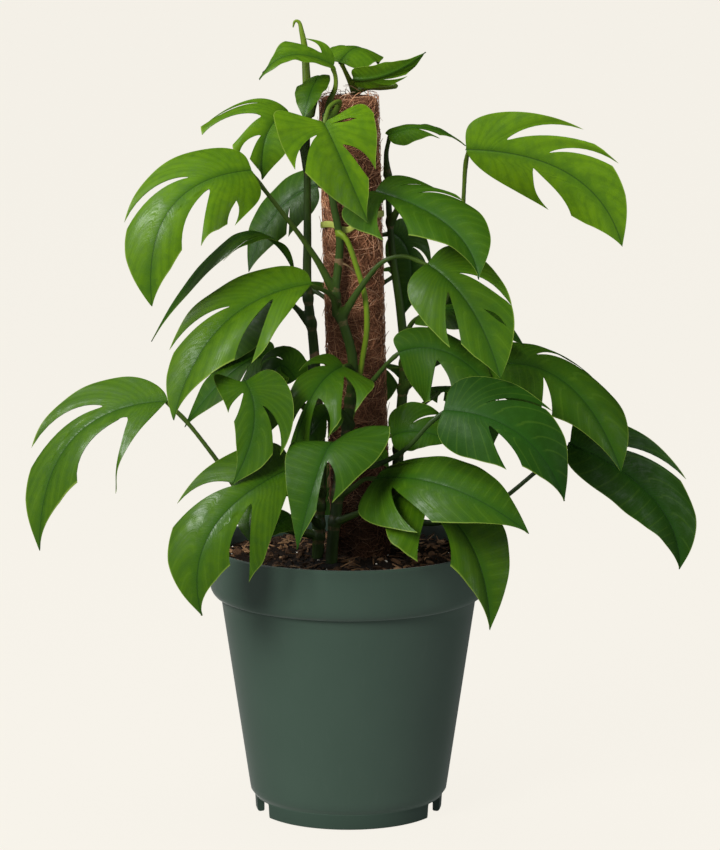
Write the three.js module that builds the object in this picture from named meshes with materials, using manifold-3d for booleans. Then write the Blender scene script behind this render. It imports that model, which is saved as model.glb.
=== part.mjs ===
// A mini monstera (a climbing aroid with split leaves) on a coir pole in a green nursery pot.
// Millimetres, +Z up. The pot's axis is the vertical through x = y = 0 while the pieces are made;
// the finished group is then set down so that the middle of its box stands over the origin.
import * as THREE from 'three';
import { mergeVertices } from 'three/addons/utils/BufferGeometryUtils.js';
import Module from 'manifold-3d';

const wasm = await Module();
wasm.setup();

// ---- driving dimensions -------------------------------------------------------------------
const POT_HEIGHT = 196;
const RIM_RADIUS = 100.5;
const BAND_HEIGHT = 37.5;
const BAND_STEP_RADIUS = 92;
const BAND_ROUND = 9;
const BODY_FOOT_RADIUS = 71.8;
const BODY_FOOT_ROUND = 8;
const POT_WALL = 2;
const POT_FLOOR = 3;
const LIP_BEVEL = 0.6;
const FOOT_RADIUS = 67.5;
const FOOT_HEIGHT = 12;
const FOOT_WALL = 5;
const FOOT_BEVEL = 1.5;
const POT_SIDES = 30;
const NOTCH_ANGLES = [-67, 67, 180];
const NOTCH_WIDTH = 22;
const NOTCH_DEPTH = 20;
const NOTCH_HEIGHT = 11;
const DRAIN_RADIUS = 6;
const DRAIN_CIRCLE = 46;
const DRAIN_SIDES = 8;

const SOIL_TOP = 184;
const SOIL_RADIUS = 96.4;
const SOIL_MOUND = 5;
const SOIL_RIPPLE = 1.6;
const SOIL_RINGS = [28, 54, 76, SOIL_RADIUS];
const SOIL_SIDES = 30;
const PLAY = 0.35;

const POLE_RADIUS = 21;
const POLE_BORE = 9;
const COIR_ROUGH = 0.5;
const POLE_FOOT = [12.5, 2, 60];
const POLE_HEAD = [0.5, 2, 517];
const POLE_SIDES = 18;
const STAKE_RADIUS = 8.6;
const STAKE_FOOT_Z = 30;
const STAKE_BELOW_HEAD = 4;
const STAKE_SIDES = 10;

const STEM_RADIUS = 4.2;
const STEM_TAPER = 0.6;
const STALK_RADIUS = 2.1;
const STUB_RADIUS = 2.2;
const PALE_STALK_RADIUS = 2.1;
const ROOT_RADIUS = 0.9;
const STEM_SIDES = 7;
const STALK_SIDES = 5;
const STALK_STEPS = 6;
const STEM_STEPS = 13;

const BLADE_THICKNESS = 0.8;
const VEIN_SWEEP = 1.4;
const VEIN_SPREAD = 1.35;
const CUT_START = 0.24;
const CUT_ROUNDING = 0.36;
const CUT_CLOSING = 0.45;
const TIP_PINCH = 0.35;
const SHOULDER_REACH = 0.95;
const TIP_REACH = 1.07;
const LOBE_ARCH = 0.07;
const STATION_GAP = 0.15;
const FIRST_SPAN_STEPS = 3;
const STALK_CLEAR = { along: 1, below: 2.2 };
const NEW_LEAF_RADIUS = 4;
const NEW_LEAF_TIP_RADIUS = 0.35;

// ---- materials ----------------------------------------------------------------------------
const material = (color, roughness) => new THREE.MeshStandardMaterial({ color, roughness });
const potGreen = material('#48604f', 0.5);
const soilBrown = material('#2b1f17', 0.95);
const coirBrown = material('#7a5238', 0.95);
const stakeBrown = material('#8b6b48', 0.8);
const tieGreen = material('#a9b04a', 0.7);
const stemGreen = material('#4c7a2c', 0.5);
const youngGreen = material('#8fb24a', 0.5);
const leafGreen = material('#3f7f22', 0.4);

// ---- small helpers ------------------------------------------------------------------------
const vec = (p) => new THREE.Vector3(...p);
const lerp = THREE.MathUtils.lerp;

// A repeatable random number in 0..1, so that every build gives the same shapes.
function seededRandom(seed) {
  let state = seed;
  return () => {
    state = (state * 1664525 + 1013904223) % 4294967296;
    return state / 4294967296;
  };
}

function geometryFrom(points, faces) {
  const geometry = new THREE.BufferGeometry();
  const flat = points.flatMap((p) => [p.x, p.y, p.z]);
  geometry.setAttribute('position', new THREE.Float32BufferAttribute(flat, 3));
  geometry.setIndex(faces.flat());
  return geometry;
}

function positionsOnly(geometry) {
  const bare = geometry.clone();
  bare.deleteAttribute('normal');
  bare.deleteAttribute('uv');
  return mergeVertices(bare, 1e-4);
}

function toSolid(geometry) {
  const merged = positionsOnly(geometry);
  return new wasm.Manifold(new wasm.Mesh({
    numProp: 3,
    vertProperties: new Float32Array(merged.attributes.position.array),
    triVerts: new Uint32Array(merged.index.array),
  }));
}

function fromSolid(solid) {
  const mesh = solid.getMesh();
  const geometry = new THREE.BufferGeometry();
  geometry.setAttribute('position', new THREE.BufferAttribute(mesh.vertProperties, 3));
  geometry.setIndex(new THREE.BufferAttribute(mesh.triVerts, 1));
  return geometry;
}

// A closed round rod along a smooth curve; radiusAt gives its radius for a share of the length.
function rod(points, radiusAt, sides, steps) {
  const curve = new THREE.CatmullRomCurve3(points.map(vec), false, 'centripetal');
  const frames = curve.computeFrenetFrames(steps, false);
  const ring = [];
  for (let i = 0; i <= steps; i += 1) {
    const centre = curve.getPointAt(i / steps);
    for (let j = 0; j < sides; j += 1) {
      const angle = (2 * Math.PI * j) / sides;
      const out = frames.normals[i].clone().multiplyScalar(Math.cos(angle));
      out.addScaledVector(frames.binormals[i], Math.sin(angle));
      ring.push(centre.clone().addScaledVector(out, radiusAt(i / steps)));
    }
  }
  const faces = [];
  for (let i = 0; i < steps; i += 1) {
    for (let j = 0; j < sides; j += 1) {
      const a = i * sides + j;
      const b = i * sides + ((j + 1) % sides);
      faces.push([a, b, b + sides], [a, b + sides, a + sides]);
    }
  }
  const last = steps * sides;
  for (let j = 1; j < sides - 1; j += 1) {
    faces.push([0, j + 1, j], [last, last + j, last + j + 1]);
  }
  return geometryFrom(ring, faces);
}

// ---- pot ----------------------------------------------------------------------------------
// Turned profile: foot ring, tapering body, the stepped band below the rim, lip, inside, floor.
function potProfile() {
  const bandFoot = POT_HEIGHT - BAND_HEIGHT;
  const bodyFoot = FOOT_HEIGHT + BODY_FOOT_ROUND;
  const rimInside = RIM_RADIUS - POT_WALL;
  const outline = new THREE.Path();
  outline.moveTo(0, FOOT_HEIGHT);
  outline.lineTo(FOOT_RADIUS - FOOT_WALL, FOOT_HEIGHT);
  outline.lineTo(FOOT_RADIUS - FOOT_WALL, 0);
  outline.lineTo(FOOT_RADIUS - FOOT_BEVEL, 0);
  outline.lineTo(FOOT_RADIUS, FOOT_BEVEL);
  outline.lineTo(FOOT_RADIUS + LIP_BEVEL, FOOT_HEIGHT);
  outline.quadraticCurveTo(BODY_FOOT_RADIUS - 0.4, FOOT_HEIGHT + 2, BODY_FOOT_RADIUS, bodyFoot);
  outline.lineTo(BAND_STEP_RADIUS, bandFoot);
  outline.quadraticCurveTo(RIM_RADIUS - LIP_BEVEL, bandFoot, RIM_RADIUS - 0.5, bandFoot + BAND_ROUND);
  outline.lineTo(RIM_RADIUS, POT_HEIGHT - 2);
  outline.lineTo(RIM_RADIUS - LIP_BEVEL, POT_HEIGHT);
  outline.lineTo(rimInside - 0.4, POT_HEIGHT);
  outline.lineTo(rimInside - 1, bandFoot + 4);
  outline.lineTo(BAND_STEP_RADIUS - POT_WALL, bandFoot - 2);
  outline.lineTo(BODY_FOOT_RADIUS - POT_WALL, bodyFoot + 1);
  outline.lineTo(BODY_FOOT_RADIUS - POT_WALL - 4, FOOT_HEIGHT + POT_FLOOR);
  outline.lineTo(0, FOOT_HEIGHT + POT_FLOOR);
  return outline.getPoints(2);
}

function turned(profile, sides) {
  const lathe = new THREE.LatheGeometry(profile, sides);
  lathe.rotateX(Math.PI / 2);
  return lathe;
}

function atAngle(geometry, degreesFromFront, radius) {
  const angle = THREE.MathUtils.degToRad(degreesFromFront - 90);
  geometry.rotateZ(angle);
  geometry.translate(radius * Math.cos(angle), radius * Math.sin(angle), 0);
  return geometry;
}

function makePot() {
  let solid = toSolid(turned(potProfile(), POT_SIDES));
  for (const degrees of NOTCH_ANGLES) {
    const notch = new THREE.BoxGeometry(NOTCH_DEPTH, NOTCH_WIDTH, 2 * NOTCH_HEIGHT);
    solid = solid.subtract(toSolid(atAngle(notch, degrees, FOOT_RADIUS)));
    const drain = new THREE.CylinderGeometry(DRAIN_RADIUS, DRAIN_RADIUS, 4 * POT_FLOOR, DRAIN_SIDES);
    drain.rotateX(Math.PI / 2);
    drain.translate(0, 0, FOOT_HEIGHT + POT_FLOOR / 2);
    solid = solid.subtract(toSolid(atAngle(drain, degrees, DRAIN_CIRCLE)));
  }
  return fromSolid(solid);
}

// ---- coir pole ----------------------------------------------------------------------------
function onPole(z) {
  const share = (z - POLE_FOOT[2]) / (POLE_HEAD[2] - POLE_FOOT[2]);
  return [lerp(POLE_FOOT[0], POLE_HEAD[0], share), lerp(POLE_FOOT[1], POLE_HEAD[1], share), z];
}

// The coir sleeve is a matted tube, a little uneven all round, with a bore for the stake.
function makeCoirPole() {
  const random = seededRandom(11);
  const levels = [POLE_FOOT[2], 190, 260, 330, 400, 460, POLE_HEAD[2]];
  const points = [];
  for (const [wall, rough] of [[POLE_RADIUS, COIR_ROUGH], [POLE_BORE, 0]]) {
    for (const z of levels) {
      for (let j = 0; j < POLE_SIDES; j += 1) {
        const angle = (2 * Math.PI * j) / POLE_SIDES;
        const reach = wall - rough * random();
        const [x, y] = onPole(z);
        points.push(vec([x + reach * Math.cos(angle), y + reach * Math.sin(angle), z]));
      }
    }
  }
  const faces = [];
  const inner = levels.length * POLE_SIDES;
  const top = (levels.length - 1) * POLE_SIDES;
  for (let j = 0; j < POLE_SIDES; j += 1) {
    const next = (j + 1) % POLE_SIDES;
    for (let i = 0; i < levels.length - 1; i += 1) {
      const a = i * POLE_SIDES + j;
      const b = i * POLE_SIDES + next;
      faces.push([a, b, b + POLE_SIDES], [a, b + POLE_SIDES, a + POLE_SIDES]);
      const c = a + inner;
      const d = b + inner;
      faces.push([c, d + POLE_SIDES, d], [c, c + POLE_SIDES, d + POLE_SIDES]);
    }
    faces.push([top + j, top + next, inner + top + next]);
    faces.push([top + j, inner + top + next, inner + top + j]);
    faces.push([j, inner + next, next], [j, inner + j, inner + next]);
  }
  return geometryFrom(points, faces);
}

function makeStake() {
  const ends = [onPole(STAKE_FOOT_Z), onPole(POLE_HEAD[2] - STAKE_BELOW_HEAD)];
  return rod(ends, () => STAKE_RADIUS, STAKE_SIDES, 2);
}

// The soft tie is a flat band that goes once round the pole and the stems in front of it.
const TIE_Z = 430;
const TIE_LEAN = 5;
const TIE_WIDTH = 6;
const TIE_THICKNESS = 1.4;
const TIE_SIDES = 24;

function makeTie() {
  const [cx, cy] = onPole(TIE_Z);
  const points = [];
  for (let j = 0; j < TIE_SIDES; j += 1) {
    const angle = (2 * Math.PI * j) / TIE_SIDES;
    const tilt = TIE_LEAN * Math.cos(angle + 0.6);
    for (const [reach, rise] of [[0, 0], [TIE_THICKNESS, 0], [TIE_THICKNESS, 1], [0, 1]]) {
      const r = POLE_RADIUS + PLAY + reach;
      const z = TIE_Z + tilt + (rise - 0.5) * TIE_WIDTH;
      points.push(vec([cx + r * Math.cos(angle), cy + r * Math.sin(angle), z]));
    }
  }
  const faces = [];
  for (let j = 0; j < TIE_SIDES; j += 1) {
    const ahead = (j + 1) % TIE_SIDES;
    for (let k = 0; k < 4; k += 1) {
      const a = j * 4 + k;
      const b = j * 4 + ((k + 1) % 4);
      const c = ahead * 4 + ((k + 1) % 4);
      const d = ahead * 4 + k;
      faces.push([a, d, c], [a, c, b]);
    }
  }
  return geometryFrom(points, faces);
}

// ---- vines --------------------------------------------------------------------------------
// Each vine is one grown piece: its stem and the stalks of all its leaves.
const VINES = {
  front: [
    [-8, -30, 120], [-12, -36, 190], [-7, -38, 240], [0, -38, 293], [3, -36, 335], [-4, -33, 362],
    [-9, -30, 380], [-7, -26, 400], [-6, -25, 419], [-10, -24, 442], [-15, -22, 470], [-16, -20, 508],
  ],
  left: [
    [-24, -12, 120], [-22, -16, 190], [-20, -18, 254], [-22, -18, 304], [-25, -16, 346], [-29, -12, 381],
    [-29, -8, 420], [-29, -6, 455], [-29, -6, 490], [-27, -8, 514],
  ],
  right: [
    [34, 20, 120], [34, 18, 195], [35, 16, 240], [38, 12, 290], [40, 8, 330], [37, 8, 365],
    [32, 10, 400], [29, 11, 435], [28, 9, 464],
  ],
  back: [
    [4, 34, 120], [4, 34, 195], [2, 34, 280], [0, 33, 370], [-5, 33, 450], [4, 29, 500], [5, 27, 514],
    [5, 25, 521],
  ],
};

// ---- leaves -------------------------------------------------------------------------------
// base, mid and tip set the midrib; up is the way the upper face looks; wide is the greatest
// half-width on the left and right of the midrib, seen from above with the tip ahead. swell says
// how slowly each half widens from the stalk, taper how fast it draws in towards the tip,
// lobing how far it reaches back past the stalk, and point how far its lobes' tips stand out.
// Each cut is [where it starts on the midrib, where it leaves the margin, its gap], as shares of
// the length; a fourth number is the share of the vein where it opens, and a fifth where it
// closes again, as a hole. fold lifts each half into a V, droop lets the margins hang. stalk
// lists its points from the stem up to the blade.
const PLAIN_LEAF = {
  fold: [0.08, 0.08], swell: [0.62, 0.62], taper: [1, 1], lobing: [0.45, 0.45],
  point: [TIP_REACH, TIP_REACH], rows: 2,
};
const LEAF_ROWS = [
  // crown
  { name: 'leaf_crown_left', vine: 'front', base: [-10, -20, 542], mid: [-41, -34, 550],
    tip: [-62, -46, 534], up: [-0.4, -0.4, 0.8], wide: [14, 27], droop: [0.1, 0.1],
    fold: [0.1, 0.3], swell: [0.62, 1.4], taper: [1, 3.4],
    cuts: { left: [], right: [[0.08, 0.37, 0.36]] },
    stalk: [[-14, -20, 506], [-13, -20, 516], [-9, -19, 526], [-9, -19, 534]] },
  { name: 'leaf_crown_back', vine: 'back', base: [-6, 10, 541], mid: [8, 40, 549],
    tip: [22, 76, 533], up: [0.1, -0.3, 0.9], wide: [16, 20], droop: [0.3, 0.3], rows: 1,
    cuts: { left: [[0.3, 0.6, 0.06]], right: [] },
    stalk: [[5, 26, 518], [0, 20, 529]] },
  { name: 'leaf_crown_right', vine: 'back', base: [4, 2, 530], mid: [29, -20, 536],
    tip: [54, -42, 553], up: [-0.1, 1, 0.3], wide: [9, 10], droop: [0, 0], taper: [1, 1.2],
    cuts: { left: [[0.3, 0.65, 0.08]], right: [] },
    stalk: [[5, 26, 518], [6, 20, 527]] },
  { name: 'leaf_crown_hanging', vine: 'left', base: [-20, -11, 534], mid: [-26, -32, 525],
    tip: [-31, -44, 506], up: [-0.3, -0.6, 0.7], wide: [10, 14], droop: [0.3, 0.3], rows: 1,
    cuts: { left: [], right: [] },
    stalk: [[-27, -7, 505], [-22, -10, 520]] },
  // upper leaves
  { name: 'leaf_upper_front', vine: 'front', base: [-17, -58, 506], mid: [-6, -71, 484],
    tip: [14, -82, 438], up: [0.36, -0.8, 0.5], wide: [37, 41], droop: [0.2, 0.1],
    fold: [0.35, 0.3], taper: [1.4, 1], lobing: [1.8, 1.4],
    cuts: { left: [[0.1, 0.4, 0.14, 0.04, 0.52], [0.37, 0.73, 0.17]], right: [[0.2, 0.58, 0.13]] },
    stalk: [[-14, -20, 500], [-6, -34, 517], [-13, -48, 515]] },
  { name: 'leaf_upper_left', vine: 'left', base: [-42, -2, 507], mid: [-57, -31, 494],
    tip: [-60, -38, 463], up: [0.2, -0.5, 0.8], wide: [20, 50], droop: [0, 0.85], fold: [0.2, 0.35],
    swell: [0.62, 1.6], taper: [0.8, 2.2],
    cuts: { left: [[0.4, 0.58, 0.09]], right: [[0.08, 0.37, 0.18], [0.25, 0.64, 0.3], [0.5, 0.8, 0.1]] },
    stalk: [[-29, -6, 468], [-36, -4, 492]] },
  { name: 'leaf_left_big', vine: 'front', base: [-67, -56, 472], mid: [-122, -94, 450],
    tip: [-135, -104, 383], up: [-0.3, -0.8, 0.5], wide: [34, 35], droop: [0.4, 0.3],
    taper: [1, 0.8],
    cuts: { left: [[0.07, 0.32, 0.14, 0.6], [0.19, 0.68, 0.26]], right: [[0.23, 0.66, 0.18]] },
    stalk: [[-9, -28, 380], [-20, -32, 402], [-32, -38, 421], [-47, -46, 442]] },
  { name: 'leaf_right_big', vine: 'right', base: [83, -17, 482], mid: [156, -35, 466],
    tip: [192, -48, 417], up: [-0.2, -1, 0.1], wide: [31, 30], droop: [0.1, 0.6],
    fold: [0.04, 0.04], swell: [0.62, 0.85], lobing: [0.4, 0.2],
    cuts: { left: [[0.11, 0.5, 0.2], [0.31, 0.64, 0.08]], right: [[0.28, 0.56, 0.42, 0.18]] },
    stalk: [[40, 8, 325], [60, 8, 352], [79, 4, 402], [82, 4, 446], [83, -2, 468]] },
  { name: 'leaf_right_behind', vine: 'right', base: [28, 10, 489], mid: [56, 16, 494],
    tip: [84, 26, 480], up: [0.1, -0.25, 1], wide: [14, 12], droop: [0.3, 0.6], taper: [1, 1.6],
    rows: 1,
    cuts: { left: [], right: [[0.3, 0.66, 0.1]] },
    stalk: [[28, 9, 460], [27, 10, 476]] },
  // middle leaves
  { name: 'leaf_middle_right', vine: 'right', base: [19, -28, 454], mid: [70, -72, 435],
    tip: [90, -104, 402], up: [0.1, -0.5, 0.9], wide: [32, 50], droop: [0.5, 0.5],
    fold: [0.45, 0.5], taper: [1.2, 1.8],
    cuts: { left: [[0.06, 0.31, 0.06], [0.17, 0.4, 0.05]], right: [[0.08, 0.45, 0.24]] },
    stalk: [[30, 11, 426], [35, -2, 440], [28, -16, 451]] },
  { name: 'leaf_middle_left', vine: 'front', base: [-25, -62, 393], mid: [-87, -88, 368],
    tip: [-121, -101, 303], up: [-0.3, -0.4, 0.8], wide: [41, 34], droop: [0.5, 0.2],
    fold: [0.35, 0.3], swell: [1.3, 0.62], taper: [1.5, 0.8], lobing: [0.2, 0.45],
    cuts: { left: [[0.17, 0.6, 0.2]], right: [[0.35, 0.73, 0.12]] },
    stalk: [[-8, -29, 366], [-12, -44, 382]] },
  { name: 'leaf_left_arching', vine: 'left', base: [-38, -16, 396], mid: [-78, -40, 423],
    tip: [-139, -42, 349], up: [-0.3, -0.25, 0.9], wide: [15, 10], droop: [0.2, 0.3],
    swell: [1.2, 1.2], lobing: [0.1, 0.1],
    cuts: { left: [[0.25, 0.62, 0.06]], right: [] },
    stalk: [[-29, -12, 376], [-31, -13, 386]] },
  { name: 'leaf_left_rear', vine: 'back', base: [-22, 26, 452], mid: [-53, 34, 430],
    tip: [-72, 30, 388], up: [-0.4, -0.7, 0.5], wide: [20, 20], droop: [0.3, 0.3], rows: 1,
    cuts: { left: [[0.3, 0.6, 0.06]], right: [] },
    stalk: [[-3, 33, 436], [-12, 30, 449]] },
  { name: 'leaf_left_shade', vine: 'left', base: [-57, -15, 374], mid: [-81, -12, 348],
    tip: [-102, -10, 323], up: [-0.2, -0.7, 0.6], wide: [18, 18], droop: [0.2, 0.2], rows: 1,
    cuts: { left: [], right: [[0.3, 0.6, 0.06]] },
    stalk: [[-28, -13, 358], [-42, -14, 372]] },
  { name: 'leaf_right_middle', vine: 'front', base: [55, -61, 407], mid: [85, -89, 380],
    tip: [105, -111, 334], up: [0, -0.7, 0.7], wide: [29, 31], droop: [0.1, 0.5],
    fold: [0.26, 0.23], taper: [0.85, 1],
    cuts: { left: [], right: [[0.25, 0.7, 0.17]] },
    stalk: [[-5, -33, 364], [10, -42, 389], [24, -47, 406], [38, -52, 411]] },
  { name: 'leaf_pole_rear', vine: 'back', base: [31, 30, 417], mid: [45, 34, 395],
    tip: [40, 30, 357], up: [0.3, -0.9, 0.2], wide: [17, 17], droop: [0.2, 0.2], rows: 1,
    cuts: { left: [[0.3, 0.6, 0.08]], right: [] },
    stalk: [[-2, 33, 396], [16, 34, 412]] },
  { name: 'leaf_right_lower', vine: 'front', base: [35, -60, 344], mid: [72, -67, 344],
    tip: [105, -90, 315], up: [0.4, -0.8, 0.4], wide: [18, 36], droop: [0.5, 0.5],
    cuts: { left: [], right: [[0.36, 0.66, 0.32]] },
    stalk: [[2, -36, 306], [14, -46, 318], [28, -56, 336]] },
  { name: 'leaf_right_outer', vine: 'right', base: [94, -63, 335], mid: [152, -62, 323],
    tip: [191, -78, 262], up: [0.2, -0.3, 0.9], wide: [43, 28], droop: [0.6, 0.7],
    fold: [0.48, 0.03], swell: [1, 0.62], lobing: [0.1, 0.45],
    cuts: { left: [[0.24, 0.62, 0.15]], right: [[0.34, 0.57, 0.14]] },
    stalk: [[39, 9, 306], [60, -18, 328], [80, -44, 338]] },
  { name: 'leaf_right_rear', vine: 'right', base: [51, -24, 365], mid: [88, -44, 370],
    tip: [124, -54, 347], up: [0.2, -0.4, 0.9], wide: [20, 20], droop: [0.3, 0.3], rows: 1,
    cuts: { left: [], right: [[0.3, 0.6, 0.06]] },
    stalk: [[38, 8, 340], [46, -10, 358]] },
  // lower leaves
  { name: 'leaf_lower_right', vine: 'front', base: [66, -103, 311], mid: [118, -128, 298],
    tip: [149, -132, 252], up: [0.4, -0.8, 0.5], wide: [35, 29], droop: [0.2, 0.5],
    fold: [0.15, 0.1], taper: [1, 1.3],
    cuts: { left: [[0.16, 0.54, 0.05]], right: [[0.25, 0.64, 0.22]] },
    stalk: [[0, -38, 262], [16, -66, 264], [40, -92, 281], [57, -101, 301]] },
  { name: 'leaf_far_right', vine: 'right', base: [156, -53, 278], mid: [216, -45, 237],
    tip: [235, -52, 187], up: [0.5, -0.7, 0.5], wide: [34, 28], droop: [0.1, 0.4],
    fold: [0.24, 0.43],
    cuts: { left: [[0.09, 0.56, 0.1]], right: [] },
    stalk: [[35, 17, 212], [62, -20, 214], [102, -46, 232], [134, -50, 258]] },
  { name: 'leaf_front_right', vine: 'front', base: [19, -84, 259], mid: [70, -134, 262],
    tip: [124, -150, 233], up: [0.3, -0.8, 0.5], wide: [31, 38], droop: [0.4, 0.3],
    taper: [0.9, 1.4],
    cuts: { left: [], right: [[0.12, 0.5, 0.2]] },
    stalk: [[-6, -38, 238], [4, -54, 247], [12, -72, 256]] },
  { name: 'leaf_rim_right', vine: 'front', base: [37, -88, 250], mid: [82, -112, 223],
    tip: [98, -140, 163], up: [0.4, -0.3, 0.9], wide: [32, 44], droop: [0.1, 0.7],
    fold: [0.4, 0.25], taper: [1, 1.3],
    cuts: { left: [], right: [[0.16, 0.6, 0.33]] },
    stalk: [[-9, -37, 218], [10, -58, 230], [26, -76, 240]] },
  { name: 'leaf_centre_right', vine: 'front', base: [30, -58, 284], mid: [50, -66, 289],
    tip: [74, -70, 281], up: [0, -0.8, 0.6], wide: [24, 14], droop: [0.2, 0.3], rows: 1,
    cuts: { left: [[0.3, 0.7, 0.06]], right: [] },
    stalk: [[0, -38, 272], [16, -46, 281]] },
  { name: 'leaf_far_left', vine: 'left', base: [-128, -33, 305], mid: [-197, -32, 276],
    tip: [-220, -36, 197], up: [-0.4, -0.4, 0.8], wide: [42, 36], droop: [0.5, 0], fold: [0.1, 0.2],
    swell: [1.2, 0.62], taper: [1.6, 0.9], lobing: [0.2, 0.1], point: [1.22, 1.07],
    cuts: { left: [[0.12, 0.55, 0.5]], right: [[0.22, 0.67, 0.26]] },
    stalk: [[-22, -16, 204], [-50, -30, 214], [-76, -36, 238], [-96, -34, 266], [-116, -31, 291]] },
  { name: 'leaf_left_low_rear', vine: 'left', base: [-52, -15, 337], mid: [-83, -18, 323],
    tip: [-117, -16, 283], up: [-0.3, -0.5, 0.8], wide: [20, 22], droop: [0.2, 0.2], rows: 1,
    cuts: { left: [[0.3, 0.6, 0.06]], right: [] },
    stalk: [[-24, -17, 322], [-38, -16, 335]] },
  { name: 'leaf_left_front', vine: 'left', base: [-71, -104, 331], mid: [-65, -114, 301],
    tip: [-80, -118, 261], up: [0, -0.8, 0.4], wide: [27, 19], droop: [0, 0.3], fold: [0.1, 0.1],
    taper: [1, 1.4], lobing: [0.45, 1.6],
    cuts: { left: [[0.24, 0.68, 0.14]], right: [[0.07, 0.5, 0.2]] },
    stalk: [[-22, -18, 288], [-40, -50, 312], [-58, -86, 329]] },
  { name: 'leaf_left_top', vine: 'left', base: [-37, -52, 323], mid: [-50, -56, 333],
    tip: [-58, -62, 306], up: [-0.3, -0.8, 0.4], wide: [13, 15], droop: [0.3, 0.3], rows: 1,
    cuts: { left: [], right: [[0.3, 0.6, 0.06]] },
    stalk: [[-23, -18, 306], [-27, -38, 322]] },
  { name: 'leaf_front_middle', vine: 'front', base: [-3, -63, 335], mid: [-25, -90, 318],
    tip: [-39, -94, 272], up: [-0.3, -0.9, 0.4], wide: [36, 17], droop: [0, 0.1], fold: [0.2, 0.3],
    cuts: { left: [[0.1, 0.56, 0.26], [0.45, 0.8, 0.26]], right: [[0.1, 0.42, 0.14], [0.5, 0.88, 0.1]] },
    stalk: [[3, -36, 322], [1, -50, 333]] },
  { name: 'leaf_front_low', vine: 'front', base: [-9, -101, 288], mid: [-19, -130, 276],
    tip: [-35, -142, 220], up: [-0.3, -0.8, 0.5], wide: [39, 27], droop: [0.5, 0.2],
    fold: [0.3, 0.3], taper: [1.6, 1], lobing: [1.3, 0.5],
    cuts: { left: [[0.4, 0.76, 0.22]], right: [] },
    stalk: [[-2, -38, 250], [-4, -66, 276]] },
  { name: 'leaf_rim_left', vine: 'left', base: [-38, -104, 271], mid: [-94, -131, 231],
    tip: [-101, -131, 171], up: [-0.3, -0.8, 0.4], wide: [34, 38], droop: [0.5, 0.4],
    fold: [0.08, 0.2], swell: [1.2, 0.62], taper: [1.6, 1], lobing: [0.2, 0.45],
    point: [1.33, 1.07],
    cuts: { left: [[0.19, 0.63, 0.24]], right: [[0.2, 0.54, 0.26]] },
    stalk: [[-20, -18, 236], [-30, -60, 250], [-37, -88, 262]] },
  { name: 'leaf_small_left', vine: 'left', base: [-60, -68, 243], mid: [-69, -83, 233],
    tip: [-66, -92, 212], up: [-0.3, -0.8, 0.4], wide: [10, 11], droop: [0.2, 0.2], rows: 1,
    cuts: { left: [], right: [] },
    stalk: [[-21, -17, 226], [-42, -46, 240]] },
  { name: 'leaf_small_grey', vine: 'left', base: [-40, -60, 228], mid: [-49, -72, 225],
    tip: [-59, -84, 216], up: [0.1, -0.5, 0.8], wide: [11, 11], droop: [0.2, 0.2], rows: 1,
    cuts: { left: [], right: [] },
    stalk: [[-21, -17, 212], [-30, -40, 224]] },
  { name: 'leaf_under_front', vine: 'front', base: [-9, -60, 304], mid: [-22, -72, 295],
    tip: [-36, -78, 270], up: [-0.3, -0.8, 0.5], wide: [13, 13], droop: [0.3, 0.3], rows: 1,
    cuts: { left: [[0.3, 0.6, 0.08]], right: [] },
    stalk: [[2, -38, 288], [-4, -50, 300]] },
  { name: 'leaf_dark_centre', vine: 'front', base: [10, -45, 268], mid: [18, -50, 272],
    tip: [29, -52, 260], up: [0.1, -0.7, 0.7], wide: [11, 11], droop: [0.3, 0.3], rows: 1,
    cuts: { left: [], right: [[0.3, 0.62, 0.08]] },
    stalk: [[-5, -38, 242], [5, -41, 256]] },
  // leaves round the back
  { name: 'leaf_back_high', vine: 'back', base: [-3, 50, 478], mid: [-8, 86, 468],
    tip: [-14, 112, 430], up: [-0.1, 0.6, 0.8], wide: [27, 27], droop: [0.3, 0.3], rows: 1,
    cuts: { left: [[0.25, 0.64, 0.1]], right: [[0.18, 0.56, 0.1]] },
    stalk: [[-5, 33, 448], [-4, 40, 466]] },
  { name: 'leaf_back_left', vine: 'back', base: [-26, 60, 372], mid: [-52, 92, 366],
    tip: [-68, 116, 326], up: [-0.4, 0.4, 0.8], wide: [30, 30], droop: [0.3, 0.3], rows: 1,
    cuts: { left: [[0.25, 0.64, 0.1]], right: [[0.18, 0.56, 0.1]] },
    stalk: [[0, 33, 344], [-14, 46, 364]] },
  { name: 'leaf_back_right', vine: 'back', base: [36, 58, 384], mid: [62, 88, 378],
    tip: [84, 110, 338], up: [0.4, 0.4, 0.8], wide: [30, 30], droop: [0.3, 0.3], rows: 1,
    cuts: { left: [[0.18, 0.56, 0.1]], right: [[0.25, 0.64, 0.1]] },
    stalk: [[0, 33, 356], [20, 44, 374]] },
  { name: 'leaf_back_low_left', vine: 'back', base: [-32, 70, 292], mid: [-56, 104, 282],
    tip: [-72, 130, 236], up: [-0.4, 0.5, 0.8], wide: [32, 32], droop: [0.3, 0.3], rows: 1,
    cuts: { left: [[0.25, 0.64, 0.1]], right: [[0.18, 0.56, 0.1]] },
    stalk: [[2, 34, 262], [-16, 52, 282]] },
  { name: 'leaf_back_low', vine: 'back', base: [8, 70, 312], mid: [14, 112, 302],
    tip: [16, 144, 258], up: [0, 0.6, 0.8], wide: [32, 32], droop: [0.3, 0.3], rows: 1,
    cuts: { left: [[0.2, 0.6, 0.1]], right: [[0.28, 0.66, 0.1]] },
    stalk: [[2, 34, 288], [5, 52, 306]] },
  { name: 'leaf_back_low_right', vine: 'right', base: [66, 60, 296], mid: [92, 92, 288],
    tip: [108, 116, 246], up: [0.4, 0.5, 0.8], wide: [32, 32], droop: [0.3, 0.3], rows: 1,
    cuts: { left: [[0.18, 0.56, 0.1]], right: [[0.25, 0.64, 0.1]] },
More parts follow.
